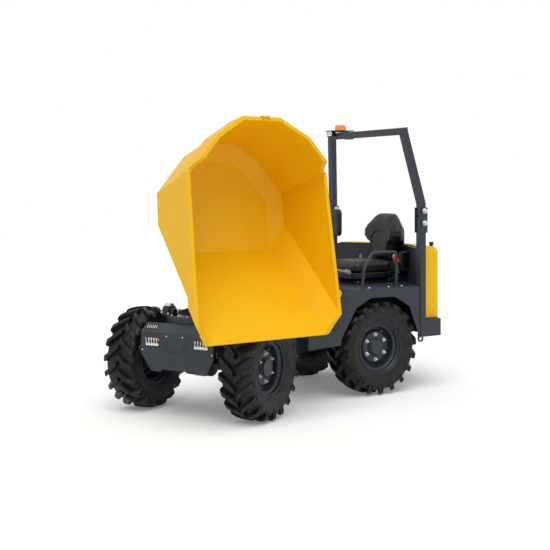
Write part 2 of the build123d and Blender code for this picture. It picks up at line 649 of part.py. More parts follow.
def mirror_panel():
    """Mirror on an arm of the right post."""
    x0, y0, z0 = ROPS_X + SLEEVE_W - ROPS_TUBE, -POST_IN - 10, ROPS_HINGE_Z - 253
    plate = box(x0, x0 + 24, y0, y0 + 190, z0, z0 + 255)
    plate = fillet(plate.edges().filter_by(Axis.X), 34)
    arm = box(ROPS_X, x0 + 1, y0 - 20, y0 + 10, z0 + 30, z0 + 60) + box(ROPS_X, ROPS_X + 8, -POST_IN - 40, y0, z0 + 30, z0 + 60)
    return plate + arm + box(x0 + 6, x0 + 18, y0 + 50, y0 + 70, z0 - 50, z0 + 1)


def steering_console():
    return side_plate(CONSOLE, -CONSOLE_W / 2, CONSOLE_W / 2)


def steering_wheel():
    """Wheel on a short column that stands square on the console's face."""
    (x0, z0), (x1, z1) = CONSOLE[2], CONSOLE[3]
    slope = degrees(atan2(z1 - z0, x1 - x0))
    turn = Pos((x0 + x1) / 2, 0, (z0 + z1) / 2) * Rot(0, -slope, 0) * Pos(0, 0, COLUMN_L) * Rot(90, 0, 0)
    c, r = WHEEL_RING_R, WHEEL_TUBE_R
    outline = [(c + r * cos(radians(a)), r * sin(radians(a))) for a in range(0, 360, 60)]
    spokes = [Rot(0, a, 0) * box(0, c - 2, -5, 5, -13, 13) for a in (0, 120, 240)]
    hub = rod_y(34, -13, 13) + rod_y(COLUMN_R, -COLUMN_L, 0)
    return turn * (hub + spokes + faceted_ring(outline, WHEEL_SIDES))


# ---------------------------------------------------------------- front frame
def front_frame():
    """Box of plates round the front axle, with the tongue and the steering cylinder's fork."""
    y1, t, x1 = FRAME_HALF_W, FRAME_T, FRONT_X1 - FRONT_T
    low = x1 - (FOLD_AT - FRAME_Z0) * tan(radians(FOLD_LEAN))
    outline = [(FRAME_X0, FRAME_Z0), (low, FRAME_Z0), (x1, FOLD_AT), (x1, FRAME_Z1 - 60), (x1 - 90, FRAME_Z1), (FRAME_X0, FRAME_Z1)]
    rails = [side_plate(outline, y0, y0 + t) for y0 in (y1 - t, -y1)]
    top = box(FRAME_X0 + 100, x1 - 90, -y1, y1, FRAME_Z1, RING_Z0)
    cross = [box(x, x + t, -y1 + t, y1 - t, FRAME_Z0, FRAME_Z1) for x in (FRAME_X0, x1 - 130)]
    z0, z1 = JOINT_Z - TONGUE_T / 2, JOINT_Z + TONGUE_T / 2
    tongue = box(-PIVOT_TO_FRONT, FRAME_X0 + t, -TONGUE_R, TONGUE_R, z0, z1) + rod_z(TONGUE_R, z0, z1, -PIVOT_TO_FRONT)
    well = rod_z(WELL_R + GAP, FRAME_Z1 - 10, RING_Z0 + 1, -TURNTABLE_BACK)
    hole = rod_z(PIVOT_R + RUN_FIT, z0 - 1, z1 + 1, -PIVOT_TO_FRONT)
    frame = rails[0] + rails[1] + top + cross + tongue - well - hole - axle_room()
    return frame + steer_lug(*STEER_FRONT, -y1 + t, False)


def front_panel():
    """Nose plate folded along its middle, with windows for the lamps and a sloping top."""
    y1, x1, t = FRONT_HALF_W, FRONT_X1, FRONT_T
    low = x1 - (FOLD_AT - FRONT_Z0) * tan(radians(FOLD_LEAN))
    profile = [(x1, FRONT_Z1), (x1, FOLD_AT), (low, FRONT_Z0), (low - t, FRONT_Z0), (x1 - t, FOLD_AT),
               (x1 - t, FRONT_Z1 - t / 2), (x1 - SLOPE_BACK - t, FRONT_Z1 + SLOPE_RISE - t / 2),
               (x1 - SLOPE_BACK, FRONT_Z1 + SLOPE_RISE)]
    plate = side_plate(profile, -y1, y1)
    corners = [front_plate([(s * y1, FRONT_Z0 - 1), (s * y1, FOLD_AT - 30), (s * (y1 - 80), FRONT_Z0 - 1)],
                           low - 2 * t, x1 + 1) for s in (1, -1)]
    notch = box(low - 2 * t, x1 + 1, -NOTCH_HALF_W, NOTCH_HALF_W, FRONT_Z0 - 1, FRONT_Z0 + 17)
    windows = [box(x1 - t - 1, x1 + 1, s * LAMP_Y - LAMP_W / 2, s * LAMP_Y + LAMP_W / 2, LAMP_Z - LAMP_H / 2,
                   LAMP_Z + LAMP_H / 2) for s in (1, -1)]
    return plate - corners - notch - windows


def headlamps():
    """Two lamps set in the nose plate's windows."""
    w, h = LAMP_W / 2 - 1, LAMP_H / 2 - 1
    return [box(FRONT_X1 - FRONT_T, FRONT_X1 - 2, s * LAMP_Y - w, s * LAMP_Y + w, LAMP_Z - h, LAMP_Z + h)
            for s in (1, -1)]


def turntable_ring():
    z1 = RING_Z0 + RING_T
    return rod_z(RING_R, RING_Z0, z1) - rod_z(RING_R - RING_WALL, RING_Z0 - 1, z1 + 1)


# ---------------------------------------------------------------- turret and skip
def turret():
    """Deck on the turntable with the tip cylinder's well, two towers and the tip pin."""
    deck_top = DECK_Z + DECK_T
    deck = rod_z(DECK_R, DECK_Z, deck_top)
    well_z = TIP_BASE[1] - 60
    well = rod_z(WELL_R, well_z, DECK_Z) - rod_z(WELL_R - LUG_T, well_z + LUG_T, DECK_Z + 1)
    slot = box(TIP_BASE[0] - 25, TIP_BASE[0] + 115, -TIP_BORE_R - 10, TIP_BORE_R + 10, DECK_Z - 30, deck_top + 1)
    outline = [(-160, deck_top), (230, deck_top), (TIP_X + 45, TIP_Z - 30), (TIP_X + 45, TIP_Z + 30),
               (TIP_X - 35, TIP_Z + 30), (TIP_X - 170, deck_top + 80)]
    towers = [side_plate(outline, s * TOWER_Y - TOWER_T / 2, s * TOWER_Y + TOWER_T / 2) for s in (1, -1)]
    pin = rod_y(TIP_PIN_R, -TOWER_Y - 60, TOWER_Y + 60, TIP_X, TIP_Z)
    x, z = TIP_BASE
    ears = [box(x - EYE_R, x + EYE_R, y, y + LUG_T, well_z + LUG_T, z) + rod_y(EYE_R, y, y + LUG_T, x, z)
            for y in (EYE_W / 2 + 2, -EYE_W / 2 - 2 - LUG_T)]
    base_pin = rod_y(EYE_PIN_R, -EYE_W / 2 - LUG_T - 4, EYE_W / 2 + LUG_T + 4, x, z)
    return deck + well - slot + towers + pin + ears + base_pin


def swivel_motor():
    """Drive that turns the deck, a block with a cap."""
    z = DECK_Z + DECK_T
    block = Pos(DRIVE_AT[0], DRIVE_AT[1], z) * extrude(RegularPolygon(DRIVE_R, 6), amount=DRIVE_H)
    return block + rod_z(DRIVE_R - 12, z + DRIVE_H - 1, z + DRIVE_H + 22, *DRIVE_AT)


def cylinder_barrel(length, radius):
    """Barrel along X from the eye at its closed end, with a gland at the rod's end."""
    eye = rod_y(EYE_R, -EYE_W / 2, EYE_W / 2)
    neck = bar((0, 0, 0), (EYE_R + 10, 0, 0), EYE_W / 2 - 2)
    tube = bar((EYE_R + 9, 0, 0), (length, 0, 0), radius)
    gland = bar((length - 34, 0, 0), (length, 0, 0), radius + 5)
    bore = bar((EYE_R + 30, 0, 0), (length + 1, 0, 0), radius - BARREL_WALL)
    return eye + neck + tube + gland - bore - rod_y(EYE_PIN_R + RUN_FIT, -EYE_W, EYE_W)


def cylinder_rod(length, stroke_end, rod_r, bore_r):
    """Rod along X whose eye is at the full length, with the piston inside the barrel."""
    rod = bar((stroke_end, 0, 0), (length - EYE_R + 6, 0, 0), rod_r)
    piston = bar((stroke_end - 30, 0, 0), (stroke_end, 0, 0), bore_r - BARREL_WALL - 0.5)
    return rod + piston + Pos(length, 0, 0) * rod_y(EYE_R, -EYE_W / 2, EYE_W / 2)


def wall_plane(a, b, lean):
    """Plane through two points that leans inward as it goes down; its normal points outward."""
    a, b = Vector(*a), Vector(*b)
    flat = Vector(b.X - a.X, b.Y - a.Y, 0).normalized()
    inward = Vector(-flat.Y, flat.X, 0)
    down = inward * sin(radians(lean)) + Vector(0, 0, -cos(radians(lean)))
    return Plane(origin=a, z_dir=down.cross(b - a).normalized())


def skip_planes():
    """Outer planes of the skip, first the lip's, then the left side's from the lip to the back."""
    fold = [(x, y, FOLD_Z) for x, y in BACK_CORNERS]
    mirrored = (-LIP_CORNER[0], LIP_CORNER[1], LIP_CORNER[2])
    lip = wall_plane(mirrored, LIP_CORNER, LIP_LEAN)
    side_high = (SIDE_CORNER[0], SIDE_CORNER[1], SIDE_END[2])
    walls = [wall_plane(LIP_CORNER, SIDE_CORNER, CORNER_LEAN), wall_plane(side_high, SIDE_END, SIDE_LEAN)]
    backs = list(zip(fold, fold[1:] + [(-fold[-1][0], fold[-1][1], FOLD_Z)]))
    walls += [wall_plane(a, b, COLLAR_LEAN) for a, b in backs]
    walls += [wall_plane(a, b, BACK_LEAN) for a, b in backs]
    lines = [(side_high, SIDE_END, SIDE_LEAN)] + [(a, b, BACK_LEAN) for a, b in backs]
    for a, b, lean in lines:
        plane = wall_plane(a, b, lean)
        down = Vector(b[0] - a[0], b[1] - a[1], 0).normalized().cross(plane.z_dir)
        step = down * ((BEVEL_Z - b[2]) / down.Z)
        walls.append(wall_plane(Vector(a[0], a[1], b[2]) + step, Vector(*b) + step, BEVEL_LEAN))
    return lip, walls


def skip_block(floor, inset, lip_inset, top):
    """Block between the skip's planes, moved inward by the insets."""
    lip, walls = skip_planes()
    block = box(-SKIP_ROOM, SKIP_ROOM, -SKIP_ROOM, 2 * SKIP_ROOM, floor, top)
    planes = [(lip, lip_inset)]
    for wall in walls:
        planes.append((wall, inset))
        if abs(wall.z_dir.X) > 0.001:
            planes.append((Plane(origin=(-wall.origin.X, wall.origin.Y, wall.origin.Z),
                                 z_dir=(-wall.z_dir.X, wall.z_dir.Y, wall.z_dir.Z)), inset))
    for plane, move in planes:
        cut = Plane(origin=plane.origin - plane.z_dir * move, z_dir=plane.z_dir)
        block = split(block, bisect_by=cut, keep=Keep.BOTTOM)
    return block


def rim_line(drop):
    """The rim seen from the side, in the skip's Y and Z, moved down by the drop."""
    back = [(SIDE_END[1], FOLD_Z + drop), (COLLAR_TOP[1][0], FOLD_Z + drop)] if drop else \
        [SIDE_END[1:], COLLAR_START, *COLLAR_TOP]
    return [(y, z - drop) for y, z in [LIP_CORNER[1:], SIDE_CORNER[1:]] + back]


def above(line):
    """Room above a line in the skip's Y and Z, right across the skip."""
    (y0, z0), (y1, z1) = line[:2]
    low = z0 - (z1 - z0) / (y1 - y0) * SKIP_ROOM
    (y2, z2), (y3, z3) = line[-2:]
    far = z3 + (z3 - z2) / (y3 - y2) * SKIP_ROOM
    outline = [(y0 - SKIP_ROOM, low)] + line + [(y3 + SKIP_ROOM, far), (y3 + SKIP_ROOM, SKIP_ROOM),
                                                (y0 - SKIP_ROOM, SKIP_ROOM)]
    face = make_face(Polyline([(SKIP_ROOM, y, z) for y, z in outline], close=True))
    return extrude(face, amount=2 * SKIP_ROOM, dir=(-1, 0, 0))


def skip():
    """Faceted skip with a box section round its rim, a raised collar, lugs and hinge ears."""
    at = Pos(LIP_X, 0, LIP_Z) * Rot(0, SKIP_SLOPE, 0) * Rot(0, 0, 90)
    top = 200
    rim = above(rim_line(0))
    outer = skip_block(FLOOR_Z, BAND_T, 0, top) + (skip_block(FLOOR_Z, 0, 0, top) & above(rim_line(BAND_H)))
    inner = skip_block(FLOOR_Z + SKIP_T, BAND_T + SKIP_T, SKIP_T, top + 50)
    shell = at * (outer - rim - inner)
    room = at * skip_block(FLOOR_Z + SKIP_T / 2, BAND_T + SKIP_T / 2, SKIP_T / 2, top)
    ears = []
    for s in (1, -1):
        y0 = s * (TOWER_Y + TOWER_T + 5) - TOWER_T / 2
        outline = [(TIP_X - 160, TIP_Z + 50), (TIP_X - 45, TIP_Z - 40), (TIP_X + 45, TIP_Z - 40),
                   (TIP_X + 60, TIP_Z + 230)]
        ears.append(side_plate(outline, y0, y0 + TOWER_T))
    x, z = TIP_EYE
    for y in (EYE_W / 2 + 7, -EYE_W / 2 - 21):
        outline = [(x - 60, z + 110), (x - EYE_R, z - EYE_R), (x + EYE_R, z - EYE_R), (x + 60, z + 190)]
        ears.append(side_plate(outline, y, y + 14) + rod_y(EYE_PIN_R + 5, y - 5, y + 19, x, z))
    hole = rod_y(TIP_PIN_R + RUN_FIT, -TOWER_Y - 80, TOWER_Y + 80, TIP_X, TIP_Z)
    return shell + [ear - room for ear in ears] - hole


# ---------------------------------------------------------------- placing
FRONT_AT = Pos(REAR_TO_PIVOT, 0, 0) * Rot(0, 0, STEER_NOW) * Pos(PIVOT_TO_FRONT, 0, 0)
TURRET_AT = FRONT_AT * Pos(-TURNTABLE_BACK, 0, 0) * Rot(0, 0, SWIVEL_NOW)
SKIP_AT = TURRET_AT * Pos(TIP_X, 0, TIP_Z) * Rot(0, TIP_NOW, 0) * Pos(-TIP_X, 0, -TIP_Z)


def turned(point, pivot, angle):
    """Point in a plane turned about a pivot, counter-clockwise."""
    x, y = point[0] - pivot[0], point[1] - pivot[1]
    c, s = cos(radians(angle)), sin(radians(angle))
    return pivot[0] + x * c - y * s, pivot[1] + x * s + y * c


def steer_line():
    """Angle and length of the steering cylinder as the machine stands."""
    front = (REAR_TO_PIVOT + PIVOT_TO_FRONT + STEER_FRONT[0], STEER_FRONT[1])
    x, y = turned(front, (REAR_TO_PIVOT, 0), STEER_NOW)
    return degrees(atan2(y - STEER_REAR[1], x - STEER_REAR[0])), hypot(x - STEER_REAR[0], y - STEER_REAR[1])


def tip_line():
    """Angle and length of the tip cylinder as the skip stands."""
    x, z = turned(TIP_EYE, (TIP_X, TIP_Z), -TIP_NOW)
    return degrees(atan2(z - TIP_BASE[1], x - TIP_BASE[0])), hypot(x - TIP_BASE[0], z - TIP_BASE[1])


def rear_pieces():
    yield from {
        "rear_chassis": rear_chassis(), "rear_yoke": rear_yoke(), "rear_axle": axle(),
        "side_panel_left": side_panel(), "side_panel_right": mirror_y(side_panel()),
        "riser": riser(), "floor_plate": floor_plate(), "seat_box": seat_box(),
        "bulkhead": bulkhead(), "engine": engine(), "bumper": bumper(), "hood": hood(),
        "seat_base": seat_base(), "seat_cushion": seat_cushion(), "seat_backrest": seat_backrest(),
        "handrail_left": handrail(), "handrail_right": mirror_y(handrail()),
        "rops_post_left": rops_post(), "rops_post_right": mirror_y(rops_post()),
        "rops_hoop": rops_hoop(), "beacon": beacon(), "work_lamp": work_lamp(), "mirror_panel": mirror_panel(),
        "steering_console": steering_console(), "steering_wheel": steering_wheel(),
    }.items()


def front_pieces():
    angle, length = tip_line()
    tip_at = TURRET_AT * Pos(TIP_BASE[0], 0, TIP_BASE[1]) * Rot(0, -angle, 0)
    yield "front_axle", FRONT_AT * axle()
    yield "front_frame", FRONT_AT * front_frame()
    yield "front_panel", FRONT_AT * front_panel()
    yield "headlamps", FRONT_AT * Compound(children=headlamps())
    yield "turntable_ring", FRONT_AT * Pos(-TURNTABLE_BACK, 0, 0) * turntable_ring()
    yield "turret", TURRET_AT * turret()
    yield "swivel_motor", TURRET_AT * swivel_motor()
    yield "tip_barrel", tip_at * cylinder_barrel(TIP_BARREL, TIP_BORE_R)
    yield "tip_rod", tip_at * cylinder_rod(length, TIP_BARREL - 60, TIP_ROD_R, TIP_BORE_R)
    yield "skip", SKIP_AT * skip()


def steering_pieces():
    angle, length = steer_line()
    at = Pos(STEER_REAR[0], STEER_REAR[1], STEER_Z) * Rot(0, 0, angle) * Rot(90, 0, 0)
    yield "steer_barrel", at * cylinder_barrel(STEER_BARREL, STEER_BORE_R)
    yield "steer_rod", at * cylinder_rod(length, STEER_BARREL - 60, STEER_ROD_R, STEER_BORE_R)


def wheel_pieces():
    shapes = {"rim": rim(), "tyre": tyre()}
    for end, end_at in (("rear", Pos(0, 0, 0)), ("front", FRONT_AT)):
        for side, y, turn in (("left", TRACK / 2, 0), ("right", -TRACK / 2, 180)):
            for kind, shape in shapes.items():
                yield f"{kind}_{end}_{side}", end_at * Pos(0, y, AXLE_Z) * Rot(0, 0, turn) * shape


def main():
    os.makedirs("parts", exist_ok=True)
    nodes = {}
    for pieces in (rear_pieces(), front_pieces(), steering_pieces(), wheel_pieces()):
        nodes.update(pieces)
    boxes = [shape.bounding_box() for shape in nodes.values()]
    x_mid = (min(b.min.X for b in boxes) + max(b.max.X for b in boxes)) / 2
    y_mid = (min(b.min.Y for b in boxes) + max(b.max.Y for b in boxes)) / 2
    z_low = min(b.min.Z for b in boxes)
    print("origin moved by", -x_mid, -y_mid, -z_low)
    for name, shape in nodes.items():
        export_step(Pos(-x_mid, -y_mid, -z_low) * shape, f"parts/{name}.step")


main()
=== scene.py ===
"""Looks of the articulated site dumper: fine pieces, materials, light and camera, in metres."""
from math import atan2, cos, pi, radians, sin, sqrt

import bmesh
import bpy
import numpy as np
from mathutils import Matrix, Vector


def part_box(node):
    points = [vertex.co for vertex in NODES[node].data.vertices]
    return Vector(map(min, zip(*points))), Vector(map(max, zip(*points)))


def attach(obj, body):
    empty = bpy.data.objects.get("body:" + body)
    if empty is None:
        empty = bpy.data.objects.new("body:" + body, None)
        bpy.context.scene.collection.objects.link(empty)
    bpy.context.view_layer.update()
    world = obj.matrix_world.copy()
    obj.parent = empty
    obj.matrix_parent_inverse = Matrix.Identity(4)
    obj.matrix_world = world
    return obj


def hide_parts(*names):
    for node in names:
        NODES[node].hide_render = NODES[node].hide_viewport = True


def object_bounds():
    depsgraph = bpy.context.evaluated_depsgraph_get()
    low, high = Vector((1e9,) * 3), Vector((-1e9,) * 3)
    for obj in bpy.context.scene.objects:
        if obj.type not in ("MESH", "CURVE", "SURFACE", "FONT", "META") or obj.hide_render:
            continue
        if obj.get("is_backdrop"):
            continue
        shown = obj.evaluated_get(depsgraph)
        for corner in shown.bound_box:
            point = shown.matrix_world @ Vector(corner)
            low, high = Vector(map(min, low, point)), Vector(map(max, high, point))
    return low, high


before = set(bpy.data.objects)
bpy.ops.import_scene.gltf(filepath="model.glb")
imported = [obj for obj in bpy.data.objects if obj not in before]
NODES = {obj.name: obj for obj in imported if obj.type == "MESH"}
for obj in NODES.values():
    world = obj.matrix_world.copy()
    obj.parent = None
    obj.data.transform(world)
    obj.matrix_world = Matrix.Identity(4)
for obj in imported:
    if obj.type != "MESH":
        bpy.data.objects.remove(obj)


def plain(value):
    if isinstance(value, dict):
        return {k: plain(v) for k, v in value.items()}
    if isinstance(value, (str, bool, int, float)) or value is None:
        return value
    return [plain(v) for v in value]


size_log = {"loaded": plain(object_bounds())}

# ------------------------------------------------------------------ the machine's frames


def move(x, y, z):
    """Shift along X, Y and Z, in metres."""
    m = np.eye(4)
    m[:3, 3] = x, y, z
    return m


def turn(axis, degrees):
    """Turn about X, Y or Z, right-handed."""
    c, s = cos(radians(degrees)), sin(radians(degrees))
    m = np.eye(4)
    i, j = {"X": (1, 2), "Y": (2, 0), "Z": (0, 1)}[axis]
    m[i, i], m[j, j], m[i, j], m[j, i] = c, c, -s, s
    return m


STEER, SWIVEL, TIP, SKIP_SLOPE = 28, 64, 78, 6      # how the machine stands, in degrees
AXLE_Z, HALF_TRACK = 0.39, 0.51
# the middle between the rear wheels, on the floor
REAR = move(-0.649606, -0.285501, -0.000236)
FRONT = REAR @ move(0.78, 0, 0) @ turn("Z", STEER) @ move(0.89, 0, 0)
TURRET = FRONT @ move(-0.1, 0, 0) @ turn("Z", SWIVEL)
SKIP = TURRET @ move(0.3, 0, 0.95) @ turn("Y", TIP) @ move(-0.3, 0, -0.95)
SHELL = SKIP @ move(0.716, 0, 1.45) @ turn("Y", SKIP_SLOPE) @ turn("Z", 90)

# ------------------------------------------------------------------ surfaces


def grid_mesh(points, around=False, along=False, caps=False):
    """Quads over a grid of points [row, column].

    around joins the columns' ends, along joins the rows' ends, and caps close them.
    """
    rows, cols = points.shape[:2]
    r = np.arange(rows if along else rows - 1)[:, None]
    c = np.arange(cols if around else cols - 1)[None, :]
    r2, c2 = (r + 1) % rows, (c + 1) % cols
    quads = np.stack([r * cols + c, r * cols + c2, r2 * cols + c2, r2 * cols + c], -1).reshape(-1, 4).tolist()
    if caps:
        quads.append(list(range(cols))[::-1])
        quads.append(list(range((rows - 1) * cols, rows * cols)))
    return points.reshape(-1, 3), quads


def lathe(profile, sides=32, closed=False):
    """Profile of radius and height turned about Z: x = r cos a, y = r sin a; flat caps close its ends."""
    p = np.array(profile, float)
    a = np.linspace(0, 2 * pi, sides, endpoint=False)
    pts = np.stack([p[:, :1] * np.cos(a), p[:, :1] * np.sin(a), np.repeat(p[:, 1:], sides, 1)], -1)
    return grid_mesh(pts, around=True, along=closed, caps=not closed)


def smooth_path(points, steps=8):
    """Catmull-Rom cubic through the points: its slope at each is half the step between its neighbours."""
    p = np.array(points, float)
    p = np.vstack([2 * p[0] - p[1], p, 2 * p[-1] - p[-2]])
    t = np.linspace(0, 1, steps, endpoint=False)[None, :, None]
    a, b, c, d = (p[i:len(p) - 3 + i][:, None, :] for i in range(4))
    out = 0.5 * (2 * b + (c - a) * t + (2 * a - 5 * b + 4 * c - d) * t ** 2
                 + (3 * b - a - 3 * c + d) * t ** 3)
    return np.vstack([out.reshape(-1, p.shape[1]), p[-2]])


def sweep(path, section, scale=None, closed=False, up=(0, 0, 1)):
    """Section in width and height carried along a path, its width square to the path and to up."""
    path, section = np.array(path, float), np.array(section, float)
    ahead = np.roll(path, -1, 0) - np.roll(path, 1, 0)
    if not closed:
        ahead[0], ahead[-1] = path[1] - path[0], path[-1] - path[-2]
    ahead /= np.linalg.norm(ahead, axis=1, keepdims=True)
    side = np.cross(ahead, np.broadcast_to(np.array(up, float), ahead.shape))
    side /= np.linalg.norm(side, axis=1, keepdims=True)
    top = np.cross(side, ahead)
    k = np.ones(len(path)) if scale is None else np.array(scale, float)
    across = side[:, None] * section[None, :, :1] + top[:, None] * section[None, :, 1:]
    pts = path[:, None] + across * k[:, None, None]
    return grid_mesh(pts, around=True, along=closed, caps=not closed)


def ring_section(r, sides=12):
    """Round section: x = r cos a, y = r sin a."""
    a = np.linspace(0, 2 * pi, sides, endpoint=False)
    return np.stack([r * np.cos(a), r * np.sin(a)], -1)


def rounded(w, h, r, steps=4):
    """Outline of a rectangle w by h about the origin whose corners are arcs of radius r."""
    a = np.linspace(0, pi / 2, steps + 1)
    arc = np.stack([np.cos(a), np.sin(a)], -1) * r
    corners = []
    for k, (sx, sy) in enumerate(((1, 1), (-1, 1), (-1, -1), (1, -1))):
        c, s = cos(k * pi / 2), sin(k * pi / 2)
        corners.append(arc @ np.array([[c, s], [-s, c]]) + [sx * (w / 2 - r), sy * (h / 2 - r)])
    return np.vstack(corners)


def slab(outline, z0, z1, edge=0.001):
    """Outline in X and Y raised from z0 to z1, its upper edge set in by the edge width."""
    p = np.array(outline, float)
    mid = (p.max(0) + p.min(0)) / 2
    half = np.maximum((p.max(0) - p.min(0)) / 2, 1e-6)
    rings = [(0, z0), (0, z1 - edge), (edge, z1)]
    pts = np.stack([np.column_stack([mid + (p - mid) * (1 - inset / half), np.full(len(p), z)]) for inset,
                    z in rings])
    return grid_mesh(pts, around=True, caps=True)


def placed(shape, matrix):
    """Shape turned by the matrix and then moved by its last column."""
    verts, faces = shape
    return verts @ matrix[:3, :3].T + matrix[:3, 3], faces


def joined(shapes):
    """Several shapes as one, their face numbers moved on."""
    verts, faces, count = [], [], 0
    for v, f in shapes:
        verts.append(v)
        faces += [[i + count for i in face] for face in f]
        count += len(v)
    return np.vstack(verts), faces


def outward(data):
    """Turns every face of closed shells outward."""
    work = bmesh.new()
    work.from_mesh(data)
    bmesh.ops.recalc_face_normals(work, faces=work.faces)
    work.to_mesh(data)
    work.free()


def add_piece(name, shape, mat, body, at=None, replaces=(), sharp=32):
    """Makes a shape a piece that rides on a body, with its faces outward and its sharp edges kept."""
    verts, faces = placed(shape, REAR if at is None else at)
    data = bpy.data.meshes.new(name)
    data.from_pydata(verts.tolist(), [], faces)
    outward(data)
    obj = bpy.data.objects.new(name, data)
    bpy.context.scene.collection.objects.link(obj)
    data.shade_smooth()
    data.set_sharp_from_angle(angle=radians(sharp))
    data.materials.append(mat)
    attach(obj, body)
    if replaces:
        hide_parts(*replaces)
    return obj


# ------------------------------------------------------------------ materials


def hex_rgb(code):
    """Linear colour from an sRGB hex value."""
    out = []
    for i in (0, 2, 4):
        c = int(code[i:i + 2], 16) / 255
        out.append(c / 12.92 if c <= 0.04045 else ((c + 0.055) / 1.055) ** 2.4)
    return (*out, 1.0)


def add_node(tree, kind, settings=None, links=None):
    """Adds one node, with its attributes or input values and the links into it."""
    node = tree.nodes.new(kind)
    for key, value in (settings or {}).items():
        if isinstance(key, int) or key in node.inputs:
            node.inputs[key].default_value = value
        else:
            setattr(node, key, value)
    for key, output in (links or {}).items():
        tree.links.new(output, node.inputs[key])
    return node


def finish_of(name, colour, rough, metallic=0.0, coat=0.0, ior=1.5, grain=None, dust_and_sheen=None):
    """Shader of one finish.

    grain: size and height in metres of the surface's own texture.
    The last argument gives a second colour, size in metres and share of broad, faint patches: dust or polish
    on some finishes, and on the tyre rubber lighter patches painted on as a sheen.
    """
    mat = bpy.data.materials.new(name)
    mat.use_nodes = True
    tree = mat.node_tree
    shader = tree.nodes["Principled BSDF"]
    values = {"Base Color": hex_rgb(colour), "Roughness": rough, "Metallic": metallic, "Coat Weight": coat}
    if not metallic:
        values["IOR"] = ior
    for key, value in values.items():
        shader.inputs[key].default_value = value
    place = add_node(tree, "ShaderNodeTexCoord")
    if grain:
        noise = add_node(tree, "ShaderNodeTexNoise", {"Scale": 1 / grain[0], "Detail": 3.0},
                         {"Vector": place.outputs["Object"]})
        bump = add_node(tree, "ShaderNodeBump", {"Distance": grain[1], "Strength": 1.0},
                        {"Height": noise.outputs["Fac"]})
        tree.links.new(bump.outputs["Normal"], shader.inputs["Normal"])
    if dust_and_sheen:
        cloud = add_node(tree, "ShaderNodeTexNoise", {"Scale": 1 / dust_and_sheen[1], "Detail": 4.0, "Roughness": 0.6},
                         {"Vector": place.outputs["Object"]})
        share = add_node(tree, "ShaderNodeMapRange", {"From Min": 0.45, "From Max": 0.75, "To Max": dust_and_sheen[2]},
                         {"Value": cloud.outputs["Fac"]})
        mix = add_node(tree, "ShaderNodeMix", {"data_type": "RGBA"}, {"Factor": share.outputs["Result"]})
        mix.inputs[6].default_value, mix.inputs[7].default_value = hex_rgb(colour), hex_rgb(dust_and_sheen[0])
        tree.links.new(mix.outputs[2], shader.inputs["Base Color"])
    return mat


# sprayed two-pack enamel on sheet steel: even and glossy, with the faint orange peel of a spray gun
YELLOW = finish_of("yellow_two_pack_enamel", "F0BA00", 0.48, ior=1.36, grain=(0.004, 0.00002),
                   dust_and_sheen=("E8AE00", 0.5, 0.5))
# powder coat baked on steel: satin dark grey, slightly pebbled
DARK = finish_of("anthracite_powder_coat", "272E38", 0.4, ior=1.45, grain=(0.0014, 0.00002),
                 dust_and_sheen=("1F262F", 0.4, 0.6))
# cast iron under chassis black: rough sand-cast skin, drawn coarse enough to show
CAST = finish_of("chassis_black_cast_iron", "121416", 0.5, ior=1.4, grain=(0.003, 0.0002))
# vulcanised natural rubber: matt near-black, with a film of dust and lighter patches painted on the lugs as a
# sheen
RUBBER = finish_of("vulcanised_tyre_rubber", "0A0A0A", 0.5, ior=1.38, grain=(0.0025, 0.00008),
                   dust_and_sheen=("2C2A27", 0.05, 0.7))
# injection-moulded polypropylene with a spark-eroded grain
PLASTIC = finish_of("black_moulded_polypropylene", "0E0F11", 0.45, ior=1.45, grain=(0.0011, 0.00005))
# vinyl-coated fabric, embossed like leather: pores about 1 mm across
VINYL = finish_of("black_seat_vinyl", "0E0F11", 0.45, ior=1.45, grain=(0.0016, 0.00012))
# electroplated zinc on bolts and nuts: bright grey metal
ZINC = finish_of("zinc_plated_steel", "C9CBCC", 0.3, metallic=1.0)
# ground hard chrome on the cylinders' rods
CHROME = finish_of("hard_chromed_rod", "DADCDD", 0.12, metallic=1.0)
# pressed aluminium reflector behind a clear lens
REFLECTOR = finish_of("bright_reflector", "E4E6E8", 0.18, metallic=1.0)
# injection-moulded polycarbonate tinted amber: glossy and bright
AMBER = finish_of("amber_polycarbonate", "FF8A12", 0.15, ior=1.58, coat=0.5)
# opal polycarbonate: milky white, slightly shiny
WHITE = finish_of("white_lamp_diffuser", "F1F2F2", 0.3)
# moulded ABS of the belt's buckle: plain signal orange
ORANGE = finish_of("orange_buckle_abs", "F0501A", 0.35)
# silvered glass: a clear, faintly blue-grey reflection
GLASS = finish_of("mirror_glass", "AEB6BC", 0.05, metallic=1.0)
# moulded polypropylene left grey: even and satin
GREY = finish_of("grey_moulded_plastic", "8C9195", 0.4)
# moulded nylon cap on the valve's stem: satin yellow
VALVE_CAP = finish_of("yellow_valve_cap", "E0A010", 0.35)

# ------------------------------------------------------------------ wheels
TYRE_R, LUGS = 0.39, 19
# a lug's line from the middle of the tread to the shoulder, each point as its place along the tread and
# across it, half width, foot radius and top radius
LUG_LINE = np.array([(0.060, 0.001, 0.018, 0.344, 0.390), (0.004, 0.060, 0.020, 0.344, 0.389),
                     (-0.034, 0.118, 0.022, 0.332, 0.381), (-0.040, 0.1318, 0.023, 0.312, 0.366)])
LUG_TURNS = np.array([0.0, 0.045, 0.3, 0.46, 0.475, 0.505, 0.52, 0.76, 0.93,
                      1.0])   # share of the line, per section
LUG_CUT = np.array([0.006, 0, 0, 0, 0.006, 0.006, 0, 0, 0,
                    0.003])                   # how far its top is let down there


